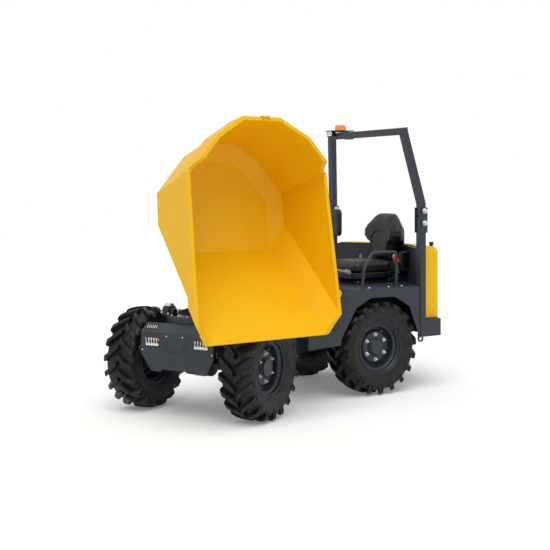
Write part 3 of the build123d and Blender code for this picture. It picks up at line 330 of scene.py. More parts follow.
def lug_ring(side):
    """One side's bent lugs: a six-sided section, wider at its foot, carried along LUG_LINE round the tyre.

    The place along the tread is an angle, s / R, and a section's points are at foot + share * (top - foot).
    The outer end is set back inside a raised border.
    """
    across = np.array([-1.25, -1.0, -0.86, 0.86, 1.0, 1.25])
    up = np.array([-0.12, 0.92, 1.0, 1.0, 0.92, -0.12])
    knots = np.array([0, 0.42, 0.9, 1.0])
    line = np.stack([np.interp(LUG_TURNS, knots, LUG_LINE[:, i]) for i in range(5)], -1)
    s = line[:, :1] + line[:, 2:3] * across
    r = line[:, 3:4] + (line[:, 4:5] - LUG_CUT[:, None] - line[:, 3:4]) * up
    y = np.repeat(line[:, 1:2], 6, 1)
    for shrink, depth in ((0.72, 0.0), (0.66, 0.006)):
        s = np.vstack([s, line[-1, 0] + (s[len(LUG_TURNS) - 1] - line[-1, 0]) * shrink])
        mid = r[len(LUG_TURNS) - 1].mean() - 0.002
        r = np.vstack([r, mid + (r[len(LUG_TURNS) - 1] - mid) * shrink])
        y = np.vstack([y, np.full((1, 6), line[-1, 1] - depth)])
    out = []
    for i in range(LUGS):
        a = s / TYRE_R + (i + (0.5 if side < 0 else 0)) * 2 * pi / LUGS
        out.append(grid_mesh(np.stack([r * np.cos(a), side * y, -r * np.sin(a)], -1), around=True, caps=True))
    return joined(out)


ABOUT_Y = turn("X", -90)            # takes a shape turned about Z to one about Y
# one side of the carcass from the bead to the crown: radius and distance from the middle plane
SIDEWALL = [(0.197, 0.100), (0.205, 0.111), (0.216, 0.1145), (0.221, 0.1185), (0.226, 0.1185),
            (0.230, 0.1160),
            (0.245, 0.1215), (0.265, 0.1270), (0.288, 0.1295), (0.2895, 0.1312), (0.2935, 0.1312),
            (0.295, 0.1285),
            (0.310, 0.1285), (0.325, 0.1255), (0.338, 0.1180), (0.346, 0.1080), (0.350, 0.0900),
            (0.353, 0.0400)]
TYRE = joined([placed(lathe(SIDEWALL + [(r, -y) for r, y in SIDEWALL[::-1]], 96, closed=True), ABOUT_Y),
               lug_ring(1), lug_ring(-1)])
# the rim's visible side from the flange down to the well, then the disc with its dished edge
RIM_FACE = [(0.2085, 0.1135), (0.2125, 0.1160), (0.2160, 0.1140), (0.2165, 0.1090), (0.2130, 0.1045),
            (0.2040, 0.1020),
            (0.1985, 0.0960), (0.1960, 0.0740), (0.1890, 0.0700), (0.1800, 0.0640), (0.1760, 0.0560),
            (0.1740, 0.0400)]
RIM_BACK = [(r - 0.008, y) for r, y in RIM_FACE[::-1][:-2]]
DISC = [(0.0350, 0.0420), (0.1210, 0.0420), (0.1260, 0.0405), (0.1320, 0.0330), (0.1420, 0.0210),
        (0.1520, 0.0170),
        (0.1680, 0.0170), (0.1680, 0.0060), (0.1500, 0.0060), (0.1350, 0.0130), (0.1200, 0.0300),
        (0.0350, 0.0300)]
BARREL = RIM_FACE + [(r, -y) for r, y in RIM_FACE[::-1]] + [(r, -y) for r, y in RIM_BACK[::-1]] + RIM_BACK
HUB = [(0.0560, 0.0300), (0.0740, 0.0420), (0.0740, 0.0500), (0.0700, 0.0540), (0.0665, 0.0560),
       (0.0650, 0.0690),
       (0.0620, 0.0715), (0.0560, 0.0715), (0.0545, 0.0700), (0.0200, 0.0700)]


def hexagon(r):
    """Six corners on a circle: x = r cos(k pi / 3), y = r sin(k pi / 3)."""
    a = np.arange(6) * pi / 3
    return np.stack([r * np.cos(a), r * np.sin(a)], -1)


def nut(width=0.024, height=0.012, thread=0.008, reach=0.011):
    """Washer, six-sided nut cut back at its upper edge, and the bolt's end, standing on Z = 0."""
    washer = lathe([(width * 0.66, -0.001), (width * 0.66, 0.0018), (width * 0.6, 0.0024), (0.003, 0.0024)],
                   20)
    bolt = lathe([(thread, 0.001), (thread, height + reach - 0.0015), (thread - 0.0015, height + reach)], 14)
    return joined([washer, slab(hexagon(width / 2 * 1.155), 0.002, height, 0.0012), bolt])


def screw(width=0.013, height=0.006):
    """Six-sided head with its flange, standing on Z = 0."""
    flange = lathe([(width * 0.72, -0.001), (width * 0.72, 0.001), (width * 0.6, 0.002), (0.002, 0.002)], 18)
    return joined([flange, slab(hexagon(width / 2 * 1.155), 0.001, height, 0.0008)])


def button(r, h):
    """Domed head: height h * sqrt(1 - (radius / r)^2)."""
    a = np.linspace(0, pi / 2 * 0.94, 6)
    return lathe([(r, -0.001)] + [(r * cos(t), h * sin(t)) for t in a], 18)


STUD_CIRCLE_R, STUD_FOOT = 0.1025, 0.0418            # where the nuts stand on the disc
VALVE_R, VALVE_OUT, VALVE_TURN, VALVE_LEAN = 0.150, 0.020, -118, -25
for end, end_at in (("rear", REAR), ("front", FRONT)):
    for side, y, half_turn in (("left", HALF_TRACK, 0), ("right", -HALF_TRACK, 180)):
        name, body = f"{end}_{side}", f"wheel_{end}_{side}"
        wheel = end_at @ move(0, y, AXLE_Z) @ turn("Z", half_turn)
        add_piece(f"fine_tyre_{name}", TYRE, RUBBER, body, wheel, [f"tyre_{name}"], 28)
        rim_parts = [placed(lathe(p, 72, closed=True), ABOUT_Y) for p in (BARREL, DISC)]
        rim_parts.append(placed(lathe(HUB, 48), ABOUT_Y))
        add_piece(f"fine_rim_{name}", joined(rim_parts), DARK, body, wheel, [f"rim_{name}"], 24)
        studs = [placed(nut(), turn("Y", -i * 60 + 90) @ move(STUD_CIRCLE_R, STUD_FOOT,
                                                              0) @ ABOUT_Y) for i in range(6)]
        add_piece(f"wheel_nuts_{name}", joined(studs), ZINC, body, wheel)
        valve = turn("Y", VALVE_TURN) @ move(VALVE_R, VALVE_OUT, 0) @ ABOUT_Y @ turn("Y", VALVE_LEAN)
        add_piece(f"valve_{name}", placed(lathe([(0.0045, 0), (0.0045, 0.026), (0.0032, 0.028)], 12), valve),
                  VALVE_CAP, body, wheel)
        bead = placed(lathe([(0.008, -0.004), (0.0075, 0.003), (0.005, 0.008)], 14), valve)
        add_piece(f"valve_boot_{name}", bead, PLASTIC, body, wheel)

# ------------------------------------------------------------------ roll bar, lamps and mirror
ROPS_MID, ROPS_OUT, HINGE_Z, LOCK_Z = -0.431, 0.666, 1.513, 1.411
POST_IN, SLEEVE_REACH, PLATE_REACH = 0.6, 0.02, 0.012
POST_FACE, POST_HOLE_ZS = 0.6578, (1.143, 1.088)
for side in (1, -1):
    name = "left" if side > 0 else "right"
    bolts = []
    for z in (HINGE_Z, LOCK_Z):
        bolts.append(placed(nut(0.036, 0.018, 0.010, 0.004), move(ROPS_MID + 0.004,
                                                                  side * (ROPS_OUT + PLATE_REACH), z)
                            @ turn("X", -90 * side)))
        bolts.append(placed(screw(0.030, 0.014), move(ROPS_MID, side * (POST_IN - SLEEVE_REACH),
                                                      z) @ turn("X", 90 * side)))
    add_piece(f"rops_bolts_{name}", joined(bolts), ZINC, "rear_frame")
    for k, z in enumerate(POST_HOLE_ZS):
        add_piece(f"post_hole_{name}_{k}",
                  placed(lathe([(0.009, -0.004), (0.009, 0.0006), (0.006, 0.0008)], 16),
                         move(ROPS_MID + 0.008, side * POST_FACE, z) @ turn("X", -90 * side)),
                  PLASTIC, "rear_frame")

low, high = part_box("beacon")
low_l, high_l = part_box("work_lamp")
# middle of the lamp's plate, over the top bar's right end
LAMP_X, LAMP_Y, PLATE_Z = (low.x + high.x) / 2 - REAR[0, 3], low.y + 0.075 - REAR[1, 3], 2.224
plate = slab(rounded(0.124, 0.124, 0.02), 0.001, 0.009, 0.001)
tongue = placed(slab(rounded(0.052, 0.2, 0.022), 0.0005, 0.0075, 0.001), move(0, 0.09, 0))
add_piece("beacon_plate", placed(joined([plate, tongue]), move(LAMP_X, LAMP_Y, PLATE_Z)), DARK, "rops")


def ribbed_dome(r, h, ribs, depth):
    """Low dome with a rounded top and a ribbed flank of radius r * (1 - depth * (1 + cos(ribs * a)) / 2)."""
    z = np.array([0, 0.04, 0.1, 0.72, 0.84, 0.94, 1.0]) * h
    k = np.array([1.04, 1.04, 0.98, 0.95, 0.90, 0.78, 0.5])
    flute = np.array([0, 0, 1, 1, 0.5, 0.1, 0])
    a = np.linspace(0, 2 * pi, ribs * 6, endpoint=False)
    rad = r * k[:, None] * (1 - depth * flute[:, None] * (1 + np.cos(ribs * a)) / 2)
    return grid_mesh(np.stack([rad * np.cos(a), rad * np.sin(a), np.repeat(z[:, None], len(a), 1)], -1), True,
                     False, True)


BEACON_R, LENS_H, LENS_RIBS, RIB_DEPTH = 0.055, 0.052, 22, 0.05
add_piece("beacon_lens", placed(ribbed_dome(BEACON_R - 0.002, LENS_H, LENS_RIBS, RIB_DEPTH),
                                move(LAMP_X, LAMP_Y, PLATE_Z + 0.016)),
          AMBER, "rops", replaces=["beacon"], sharp=40)
add_piece("beacon_foot", placed(lathe([(0.050, -0.001), (0.056, 0.002), (0.056, 0.008), (0.052, 0.010)], 40),
                                move(LAMP_X, LAMP_Y, PLATE_Z + 0.008)), PLASTIC, "rops")
add_piece("beacon_core", placed(lathe([(0.020, 0), (0.020, 0.024), (0.012, 0.028)], 24),
                                move(LAMP_X, LAMP_Y, PLATE_Z + 0.018)), WHITE, "rops")
# the work lamp: finned housing, visor, six small reflectors and the white cover over them
WX1, WY0 = high_l.x - REAR[0, 3], low_l.y - REAR[1, 3]
WZ0, WZ1 = low_l.z - REAR[2, 3], high_l.z - REAR[2, 3]
lamp_mid = move(WX1 - 0.030, WY0 + 0.100, WZ1 - 0.020)
CUP_PITCH, BAR_UNDER = 0.0275, 2.158
FORWARD = turn("Y", 90) @ turn("Z", 90)         # takes Z to the front, X to the left and Y up
housing = [placed(slab(rounded(0.092, 0.050, 0.008), -0.024, 0.016, 0.003), lamp_mid @ FORWARD)]
housing += [placed(slab(rounded(0.088, 0.003, 0.001), -0.034, -0.022, 0.0005),
                   lamp_mid @ FORWARD @ move(0, k * 0.008, 0))
            for k in range(-2, 3)]
arm = sweep([(LAMP_X, WY0 + 0.10, WZ0 + 0.012), (WX1 - 0.075, WY0 + 0.10, WZ0 + 0.008),
             (WX1 - 0.05, WY0 + 0.10, WZ0 + 0.014)],
            rounded(0.036, 0.008, 0.002))
visor = placed(slab(rounded(0.108, 0.06, 0.006), 0, 0.003, 0.0008),
               lamp_mid @ move(-0.004, 0, 0.026) @ turn("Z", 90))
add_piece("work_lamp_housing", joined(housing + [arm, visor]), PLASTIC, "rops", replaces=["work_lamp"])
cups = [placed(lathe([(0.003, 0.002), (0.0075, 0.004), (0.0105, 0.009), (0.0118, 0.0115), (0.0112, 0.012),
                      (0.0098, 0.0085),
                      (0.007, 0.0035)], 16, closed=True),
               lamp_mid @ FORWARD @ move(-CUP_PITCH + CUP_PITCH * c, y, 0.0115))
        for c in range(3) for y in (-0.012, 0.012)]
add_piece("work_lamp_reflectors", joined(cups), REFLECTOR, "rops")
add_piece("work_lamp_cover", placed(slab(rounded(0.084, 0.044, 0.005), 0.0165, 0.0195, 0.0006),
                                    lamp_mid @ FORWARD),
          WHITE, "rops")
add_piece("bar_clip", placed(slab(rounded(0.052, 0.104, 0.02), -0.006, 0.0, 0.001),
                             move(LAMP_X, LAMP_Y + 0.13, BAR_UNDER)),
          DARK, "rops")

# the mirror plate's near corner, and half its thickness, width and height from there
MIRROR = REAR @ move(-0.38 + 0.016, -0.6 + 0.085, 1.26 + 0.1275)


def shell_block(w, h, d, r, bulge=0.35, rows=7):
    """Rounded rectangle w by h raised to depth d, drawn in by bulge * (1 - sqrt(1 - 0.96 t^2))."""
    t = np.linspace(0, 1, rows)
    pts = [np.column_stack([rounded(w, h, r) * (1 - bulge * (1 - sqrt(1 - 0.96 * k ** 2))),
                            np.full(20, d * k)]) for k in t]
    return grid_mesh(np.stack(pts), True, False, True)


mirror = [placed(shell_block(0.18, 0.245, 0.022, 0.04), FORWARD @ move(0, 0, -0.004))]
mirror.append(placed(slab(rounded(0.186, 0.251, 0.042), -0.016, -0.003, 0.002), FORWARD))
mirror.append(placed(slab(rounded(0.14, 0.2, 0.03), 0.0165, 0.0195, 0.0015), FORWARD))
stem = [(0.002, -0.02, -0.1), (0.002, -0.02, -0.18)]
mirror.append(sweep(stem, ring_section(0.009), up=(1, 0, 0)))
arm_path = smooth_path([(-0.055, -0.1, -0.07), (-0.02, -0.1, -0.07), (-0.012, -0.09, -0.06),
                        (-0.004, -0.05, -0.03)], 5)
mirror.append(sweep(arm_path, ring_section(0.008)))
add_piece("mirror_shell", joined(mirror), PLASTIC, "rear_frame", MIRROR, ["mirror_panel"])
add_piece("mirror_glass", placed(slab(rounded(0.172, 0.236, 0.036), 0.0, 0.002, 0.0008),
                                 FORWARD @ turn("Y", 180)
                                 @ move(0, 0, 0.0155)), GLASS, "rear_frame", MIRROR)

# ------------------------------------------------------------------ seat
def stacked(outline, levels):
    """Outline repeated at each level of height, with its scale in X and in Y and its middle's shift in X."""
    p = np.array(outline, float)
    pts = [np.column_stack([p[:, 0] * kx + dx, p[:, 1] * ky, np.full(len(p), z)]) for z, kx, ky, dx in levels]
    return grid_mesh(np.stack(pts), around=True, caps=True)


def filled_pad(name, shape, mat, body, replaces, groove, limit=0.014, voxel=0.006):
    """Foam under stretched vinyl: a block remeshed in even cells, blown up a little as cloth, then sewn.

    groove gives, for the finished surface's points and normals, how deep its seams pull it in.
    """
    verts, faces = shape
    data = bpy.data.meshes.new(name)
    data.from_pydata(verts.tolist(), [], faces)
    obj = bpy.data.objects.new(name, data)
    bpy.context.scene.collection.objects.link(obj)
    outward(data)
    cells = obj.modifiers.new("cells", "REMESH")
    cells.mode, cells.voxel_size = "VOXEL", voxel
    bake_mesh(obj)
    before = coordinates(obj.data)
    cloth = obj.modifiers.new("cloth", "CLOTH")
    cloth.settings.quality, cloth.settings.mass = 4, 0.3
    cloth.settings.tension_stiffness = cloth.settings.compression_stiffness = 25
    cloth.settings.bending_stiffness = 0.5
    cloth.settings.use_pressure, cloth.settings.uniform_pressure_force = True, 4.0
    cloth.settings.effector_weights.gravity = 0.0
    cloth.point_cache.frame_start, cloth.point_cache.frame_end = 1, 20
    for number in range(1, 21):
        bpy.context.scene.frame_set(number)
    bake_mesh(obj)
    bpy.context.scene.frame_set(1)
    step = coordinates(obj.data) - before
    far = np.linalg.norm(step, axis=1, keepdims=True)
    set_coordinates(obj.data, before + step * np.minimum(1.0, limit / np.maximum(far, 1e-9)))
    even = obj.modifiers.new("even", "SUBSURF")
    even.levels = even.render_levels = 1
    bake_mesh(obj)
    normals = np.empty(len(obj.data.vertices) * 3)
    obj.data.vertices.foreach_get("normal", normals)
    normals = normals.reshape(-1, 3)
    points = coordinates(obj.data)
    set_coordinates(obj.data, points - normals * groove(points, normals)[:, None])
    obj.data.transform(Matrix(REAR.tolist()))
    obj.data.shade_smooth()
    obj.data.materials.clear()
    obj.data.materials.append(mat)
    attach(obj, body)
    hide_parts(*replaces)
    return obj


def bake_mesh(obj):
    """Makes the mesh what its modifiers give and drops them."""
    bpy.context.view_layer.update()
    final = bpy.data.meshes.new_from_object(obj.evaluated_get(bpy.context.evaluated_depsgraph_get()))
    obj.modifiers.clear()
    obj.data = final


def coordinates(data):
    """A mesh's points as rows of X, Y and Z."""
    co = np.empty(len(data.vertices) * 3)
    data.vertices.foreach_get("co", co)
    return co.reshape(-1, 3)


def set_coordinates(data, points):
    """Moves a mesh's points to the given rows."""
    data.vertices.foreach_set("co", np.ascontiguousarray(points, dtype=np.float32).ravel())
    data.update()


def seam(distance, width, depth):
    """Bell-shaped groove: depth * exp(-(distance / width)^2)."""
    return depth * np.exp(-(distance / width) ** 2)


SEAT_Y = 0.014                      # the seat stands a little left of the machine's middle
BACK_X, BACK_FOOT = -0.548, 1.05
WING_FORWARD, WING_AT = 0.045, 0.235      # how far the backrest's sides come forward, and at what half width
# height over the backrest's foot, half width, half depth, how far its middle leans back
BACK_LEVELS = [(0.000, 0.105, 0.030, 0.000), (0.012, 0.120, 0.046, 0.000), (0.080, 0.135, 0.056, -0.002),
               (0.140, 0.165, 0.062, -0.004), (0.195, 0.222, 0.068, -0.008), (0.240, 0.246, 0.070, -0.011),
               (0.290, 0.244, 0.068, -0.013), (0.335, 0.220, 0.063, -0.015), (0.385, 0.168, 0.054, -0.018),
               (0.420, 0.130, 0.044, -0.022), (0.436, 0.100, 0.026, -0.024)]


def backrest_shape():
    """Sections of a rounded, forward-curved wing shape stacked over the height.

    Each section is an oval of half width w and half depth d, |x / d|^3 + |y / w|^2.6 = 1, whose sides come
    forward by WING_FORWARD * (y / WING_AT)^2.
    """
    a = np.linspace(0, 2 * pi, 72, endpoint=False)
    cx = np.sign(np.cos(a)) * np.abs(np.cos(a)) ** (2 / 3.0)
    cy = np.sign(np.sin(a)) * np.abs(np.sin(a)) ** (2 / 2.6)
    rows = []
    for z, w, d, lean in BACK_LEVELS:
        y = cy * w
        rows.append(np.column_stack([BACK_X + lean + cx * d + WING_FORWARD * (y / WING_AT) ** 2, y + SEAT_Y,
                                     np.full(len(a), BACK_FOOT + z)]))
    return grid_mesh(np.stack(rows), around=True, caps=True)


def backrest_seams(p, n):
    """Arched panel, five cross channels above it, and one seam round the flank."""
    y, z = p[:, 1] - SEAT_Y, p[:, 2]
    front = np.clip(n[:, 0] * 2, 0, 1)
    rise = np.maximum(z - 1.245, 0) * 1.35
    arch = np.abs(np.hypot(y, rise) - (0.108 - 0.02 * np.clip((1.2 - z) / 0.15, 0, 1)))
    depth = seam(arch, 0.0055, 0.0085) * (z > 1.06)
    ribs = (z > 1.352) & (np.abs(y) < 0.125)
    depth = depth + ribs * 0.0016 * (1 + np.cos(2 * pi * (z - 1.36) / 0.021))
    sides = np.abs(np.abs(y) - (0.118 + 0.06 * np.clip((z - 1.10) / 0.2, 0,
                                                       1) - 0.09 * np.clip((z - 1.36) / 0.1, 0, 1)))
    depth = depth + seam(sides, 0.005, 0.006) * (z > 1.20)
    flank = seam(p[:, 0] - (BACK_X + WING_FORWARD * (y / WING_AT) ** 2 - 0.012), 0.004, 0.004) * (1 - front)
    return depth * front + flank


CUSHION_X, CUSHION_Z = -0.245, 0.975
PAN_Z, PLATE_UNDER_Z, BELLOWS_Z, SLIDE_Z = 0.940, 0.925, 0.884, 0.8825
BELLOWS_FOLDS, FOLD_PITCH, SLIDE_HALF = 6, 0.0085, 0.185
CUSHION_LEVELS = [(CUSHION_Z, 0.93, 0.93, 0.0), (CUSHION_Z + 0.010, 0.985, 0.98, 0.0),
                  (CUSHION_Z + 0.04, 1.0, 1.0, 0.0),
                  (CUSHION_Z + 0.066, 0.99, 0.985, 0.0), (CUSHION_Z + 0.080, 0.955, 0.95, -0.002),
                  (CUSHION_Z + 0.087, 0.88, 0.88, -0.004)]


def cushion_seams(p, n):
    """Middle panel between two side rolls, the front roll's seam, two cross channels and a border."""
    x, y = p[:, 0] - CUSHION_X, p[:, 1] - SEAT_Y
    top = np.clip(n[:, 2] * 1.6, 0, 1)
    sides = seam(np.abs(np.abs(y) - (0.148 + 0.02 * (x / 0.2))), 0.0055, 0.009) * (x > -0.19)
    cross = seam(x - 0.085 - 0.10 * (y / 0.235) ** 2, 0.0055, 0.008) * (np.abs(y) < 0.17)
    cross = cross + (seam(x + 0.02, 0.005, 0.004) + seam(x + 0.1, 0.005, 0.004)) * (np.abs(y) < 0.145)
    dish = 0.014 * np.exp(-((x + 0.05) / 0.13) ** 2 - (y / 0.11) ** 2)
    border = seam(p[:, 2] - CUSHION_Z - 0.036, 0.0035, 0.005) * (1 - top)
    return (sides + cross + dish) * top + border


filled_pad("seat_back_pad", backrest_shape(), VINYL, "rear_frame", ["seat_backrest"], backrest_seams)
filled_pad("seat_cushion_pad", placed(stacked(rounded(0.43, 0.47, 0.06, 8), CUSHION_LEVELS),
                                      move(CUSHION_X, SEAT_Y, 0)),
           VINYL, "rear_frame", ["seat_cushion"], cushion_seams)

# moulded pan under the cushion, bellows over the suspension, slide rails, back shell
under = [placed(slab(rounded(0.44, 0.45, 0.05), 0.0, 0.034, 0.006), move(CUSHION_X, SEAT_Y, PAN_Z)),
         placed(slab(rounded(0.50, 0.42, 0.05), 0.0, 0.018, 0.004),
                move(CUSHION_X - 0.03, SEAT_Y, PLATE_UNDER_Z))]
bellows = np.array([(0.19 + 0.012 * (k % 2), BELLOWS_Z + FOLD_PITCH * k) for k in range(BELLOWS_FOLDS)])
folds = np.stack([np.column_stack([rounded(2 * r + 0.02, 2 * r - 0.03, 0.04), np.full(20, z)]) for r,
                  z in bellows])
under.append(placed(grid_mesh(folds, True, False, True), move(CUSHION_X, SEAT_Y, 0)))
under += [placed(slab(rounded(0.40, 0.022, 0.006), 0, 0.016, 0.002),
                 move(CUSHION_X, SEAT_Y + s * SLIDE_HALF, SLIDE_Z))
          for s in (1, -1)]
add_piece("seat_under", joined(under), PLASTIC, "rear_frame")
shell = placed(shell_block(0.36, 0.30, 0.04, 0.07, 0.25), move(BACK_X - 0.050, SEAT_Y,
                                                               1.24) @ FORWARD @ turn("X", 180))
add_piece("seat_back_shell", shell, PLASTIC, "rear_frame")
rail_bits = [placed(screw(0.012, 0.006), move(x, SEAT_Y + s * 0.2, 0.8985))
             for x in (-0.42, -0.08) for s in (1, -1)]
add_piece("seat_rail_screws", joined(rail_bits), ZINC, "rear_frame")
# the height lever: a bar out of the pan's front and its grip
lever = [sweep(smooth_path([(-0.03, 0.09, 0.955), (0.0, 0.10, 0.975), (0.006, 0.13, 0.985),
                            (0.006, 0.17, 0.985)], 6),
               ring_section(0.008)),
         sweep([(0.006, 0.150, 0.985), (0.006, 0.153, 0.985), (0.006, 0.200, 0.982), (0.006, 0.206, 0.982)],
               ring_section(0.021, 16), scale=[0.8, 1, 1, 0.75]),
         sweep([(0.004, 0.035, 0.992), (0.004, 0.038, 0.992), (0.004, 0.118, 0.985), (0.004, 0.121, 0.985)],
               rounded(0.03, 0.018, 0.007), scale=[0.8, 1, 1, 0.8])]
add_piece("seat_lever", joined(lever), GREY, "rear_frame")
# belt: retractor, buckle in its orange housing, a stalk on each side and the far side's button
retractor = placed(slab(rounded(0.098, 0.046, 0.01), 0, 0.150, 0.01), move(-0.555, 0.262, 1.0))
add_piece("belt_retractor", retractor, PLASTIC, "rear_frame")
BUCKLE = move(-0.44, 0.285, 1.085) @ turn("Y", 28) @ turn("Z", 90)
add_piece("belt_buckle", placed(slab(rounded(0.022, 0.052, 0.007), -0.035, 0.035, 0.004), BUCKLE), ORANGE,
          "rear_frame")
stalk = [sweep([(-0.462, 0.285, 1.05), (-0.478, 0.283, 1.01), (-0.485, 0.275, 0.96)],
               rounded(0.008, 0.024, 0.003)),
         sweep([(-0.474, -0.256, 1.088), (-0.478, -0.255, 1.03), (-0.485, -0.247, 0.96)],
               rounded(0.008, 0.024, 0.003)),
         placed(slab(rounded(0.008, 0.03, 0.003), 0.035, 0.045, 0.002), BUCKLE)]
add_piece("belt_stalk", joined(stalk), ZINC, "rear_frame")
add_piece("belt_far_button", placed(button(0.012, 0.01),
                                    move(-0.47, -0.25, 1.09) @ turn("Z", 90) @ turn("Y", 70)), ORANGE,
          "rear_frame")

# ------------------------------------------------------------------ rear frame details
FENDER_BOLT_Z, RAIL_FOOT_Z, HOOD_TOP = 0.8802, 0.8801, 1.203
RAIL_Y, RAIL_TUBE_R, RAIL_FEET = 0.58, 0.012, (-0.2, 0.155)
fender_bolts = [placed(button(0.011, 0.006), move(x, s * y, FENDER_BOLT_Z))
                for x, y in ((0.067, 0.560), (-0.137, 0.560), (-0.235, 0.552), (-0.285, 0.552))
                for s in (1, -1)]
add_piece("fender_bolts", joined(fender_bolts), ZINC, "rear_frame")
caps = [placed(lathe([(0.016, 0), (0.016, 0.012), (0.020, 0.016), (0.021, 0.03), (0.018, 0.036)], 24),
               move(-0.66, 0.50, HOOD_TOP))]
add_piece("hood_latch_knob", joined(caps), PLASTIC, "hood")
filler = [placed(lathe([(0.045, 0), (0.045, 0.008), (0.038, 0.010), (0.038, 0.022), (0.034, 0.026)], 32),
                 move(-0.72, -0.36, HOOD_TOP)),
          placed(slab(rounded(0.02, 0.066, 0.006), 0.02, 0.034, 0.004), move(-0.72, -0.36, HOOD_TOP))]
add_piece("filler_cap", joined(filler), PLASTIC, "hood")
for side in (1, -1):
    name = "left" if side > 0 else "right"
    rail = smooth_path([(-0.200, 0.882), (-0.203, 1.10), (-0.200, 1.150), (-0.165, 1.171), (0.010, 1.172),
                        (0.062, 1.155),
                        (0.132, 1.045), (0.143, 1.010), (0.155, 0.882)], 8)
    rail = np.column_stack([rail[:, 0], np.full(len(rail), side * RAIL_Y), rail[:, 1]])
    feet = [placed(lathe([(0.026, 0), (0.026, 0.004), (0.024, 0.006), (0.014, 0.006)], 24),
                   move(x, side * RAIL_Y, RAIL_FOOT_Z))
            for x in RAIL_FEET]
    add_piece(f"fine_handrail_{name}",
              joined([sweep(rail, ring_section(RAIL_TUBE_R, 16), up=(0, 1, 0))] + feet), DARK,
              "rear_frame", replaces=[f"handrail_{name}"])

# ------------------------------------------------------------------ nose plate, lamps and lashing eyes
NOSE_X, LAMP_AT, LAMP_MID_Z, SLOPE = 0.33, 0.215, 0.565, -56.3
CELL_PITCH, LAMP_CELLS = 0.0232, 5
EYE_X, EYE_Y, EYE_Z, EYE_R = 0.292, 0.337, 0.505, 0.024       # lashing eyes


def light_bars(count, pitch, height, lean, z0, z1):
    """Row of upright glowing guides, each a thin block leaning by the same angle."""
    return joined([placed(slab(rounded(0.0045, height, 0.001), z0, z1, 0.0006),
                          move((k - (count - 1) / 2) * pitch, 0, 0)
                          @ turn("Z", lean)) for k in range(count)])


trays, mirrors, guides, ambers, fillers = [], [], [], [], []
for s in (1, -1):
    at = move(NOSE_X, s * LAMP_AT, LAMP_MID_Z) @ FORWARD
    fillers.append(placed(slab(rounded(0.123, 0.016, 0.001), -0.009, -0.0002, 0.0003),
                          at @ move(0, 0.0445, 0)))
    trays.append(placed(slab(rounded(0.126, 0.078, 0.004), -0.008, 0.0008, 0.0006), at))
    for k in range(LAMP_CELLS):
        x = (k - 2) * CELL_PITCH
        mirrors.append(placed(lathe([(0.0030, 0.0005), (0.0090, 0.0010), (0.0108, 0.0045), (0.0100, 0.0045),
                                     (0.0080, 0.0022),
                                     (0.003, 0.0018)], 18, closed=True), at @ move(x, -0.018, 0)))
    guides.append(placed(light_bars(LAMP_CELLS, CELL_PITCH, 0.060, -9 * s, 0.0004, 0.004),
                         at @ move(-0.007, 0, 0)))
    guides.append(placed(light_bars(LAMP_CELLS - 1, CELL_PITCH, 0.022, 14 * s, 0.0004, 0.003),
                         at @ move(0.006, 0.019, 0)))
    ambers.append(placed(slab(rounded(0.007, 0.018, 0.002), 0.0004, 0.004, 0.001),
                         at @ move(-0.057 * s, 0.020, 0)))
add_piece("lamp_window_fillers", joined(fillers), DARK, "front_frame", FRONT)
add_piece("headlamp_trays", joined(trays), PLASTIC, "front_frame", FRONT, ["headlamps"])
add_piece("headlamp_reflectors", joined(mirrors), REFLECTOR, "front_frame", FRONT)
add_piece("headlamp_guides", joined(guides), WHITE, "front_frame", FRONT)
add_piece("headlamp_indicators", joined(ambers), AMBER, "front_frame", FRONT)
top_pads, top_bars = [], []
for s in (1, -1):
    at = move(NOSE_X - 0.042, s * 0.245, 0.640 + 0.028) @ turn("Y", SLOPE) @ FORWARD
    top_pads.append(placed(slab(rounded(0.118, 0.060, 0.006), -0.001, 0.0012, 0.0005), at))
    top_bars.append(placed(light_bars(6, 0.016, 0.034, -16 * s, 0.001, 0.004), at))
add_piece("slope_window_pads", joined(top_pads), PLASTIC, "front_frame", FRONT)
add_piece("slope_window_bars", joined(top_bars), WHITE, "front_frame", FRONT)
rivets = [placed(button(0.0065, 0.004), move(NOSE_X + 0.0002, y, z) @ FORWARD)
          for y, z in ((-0.089, 0.612), (0.053, 0.612), (-0.306, 0.502), (0.306, 0.502))]
add_piece("nose_rivets", joined(rivets), ZINC, "front_frame", FRONT)


def groove_shade_line(points, width=0.0045, proud=0.0006):
    """Black strip of painted shade standing in for a pressed groove on the nose plate, along Y and Z points,
    its corners mitred, a flat strip swept along them.
    """
    path = [(NOSE_X, y, z) for y, z in points]
    return sweep(path, [(-width / 2, -0.001), (width / 2, -0.001), (width / 2, proud), (-width / 2, proud)],
                 up=(1, 0, 0))


# two U-shaped pressed grooves, drawn as black strips of painted shade
u_lines = [smooth_path([(-0.113, 0.578), (-0.100, 0.512), (-0.086, 0.497), (0.058, 0.497), (0.072, 0.512),
                        (0.090, 0.578)], 4),
           smooth_path([(-0.094, 0.576), (-0.083, 0.524), (-0.074, 0.514), (0.046, 0.514), (0.055, 0.524),
                        (0.070, 0.576)], 4)]
add_piece("nose_groove_shade_lines", joined([groove_shade_line(u) for u in u_lines]), PLASTIC, "front_frame", FRONT)
rings = []
for s in (1, -1):
    a = np.linspace(0, 2 * pi, 24, endpoint=False)
    loop = np.stack([EYE_X + EYE_R * np.cos(a), np.full(24, s * EYE_Y), EYE_Z + EYE_R * np.sin(a)], -1)
    rings.append(sweep(loop, ring_section(0.0065, 10), closed=True, up=(0, 1, 0)))
    rings.append(sweep([(EYE_X, s * 0.318, 0.515), (EYE_X, s * 0.325, 0.515), (EYE_X, s * 0.335, 0.524)],
                       ring_section(0.010, 10),
                       up=(1, 0, 0)))
add_piece("lashing_rings", joined(rings), DARK, "front_frame", FRONT)

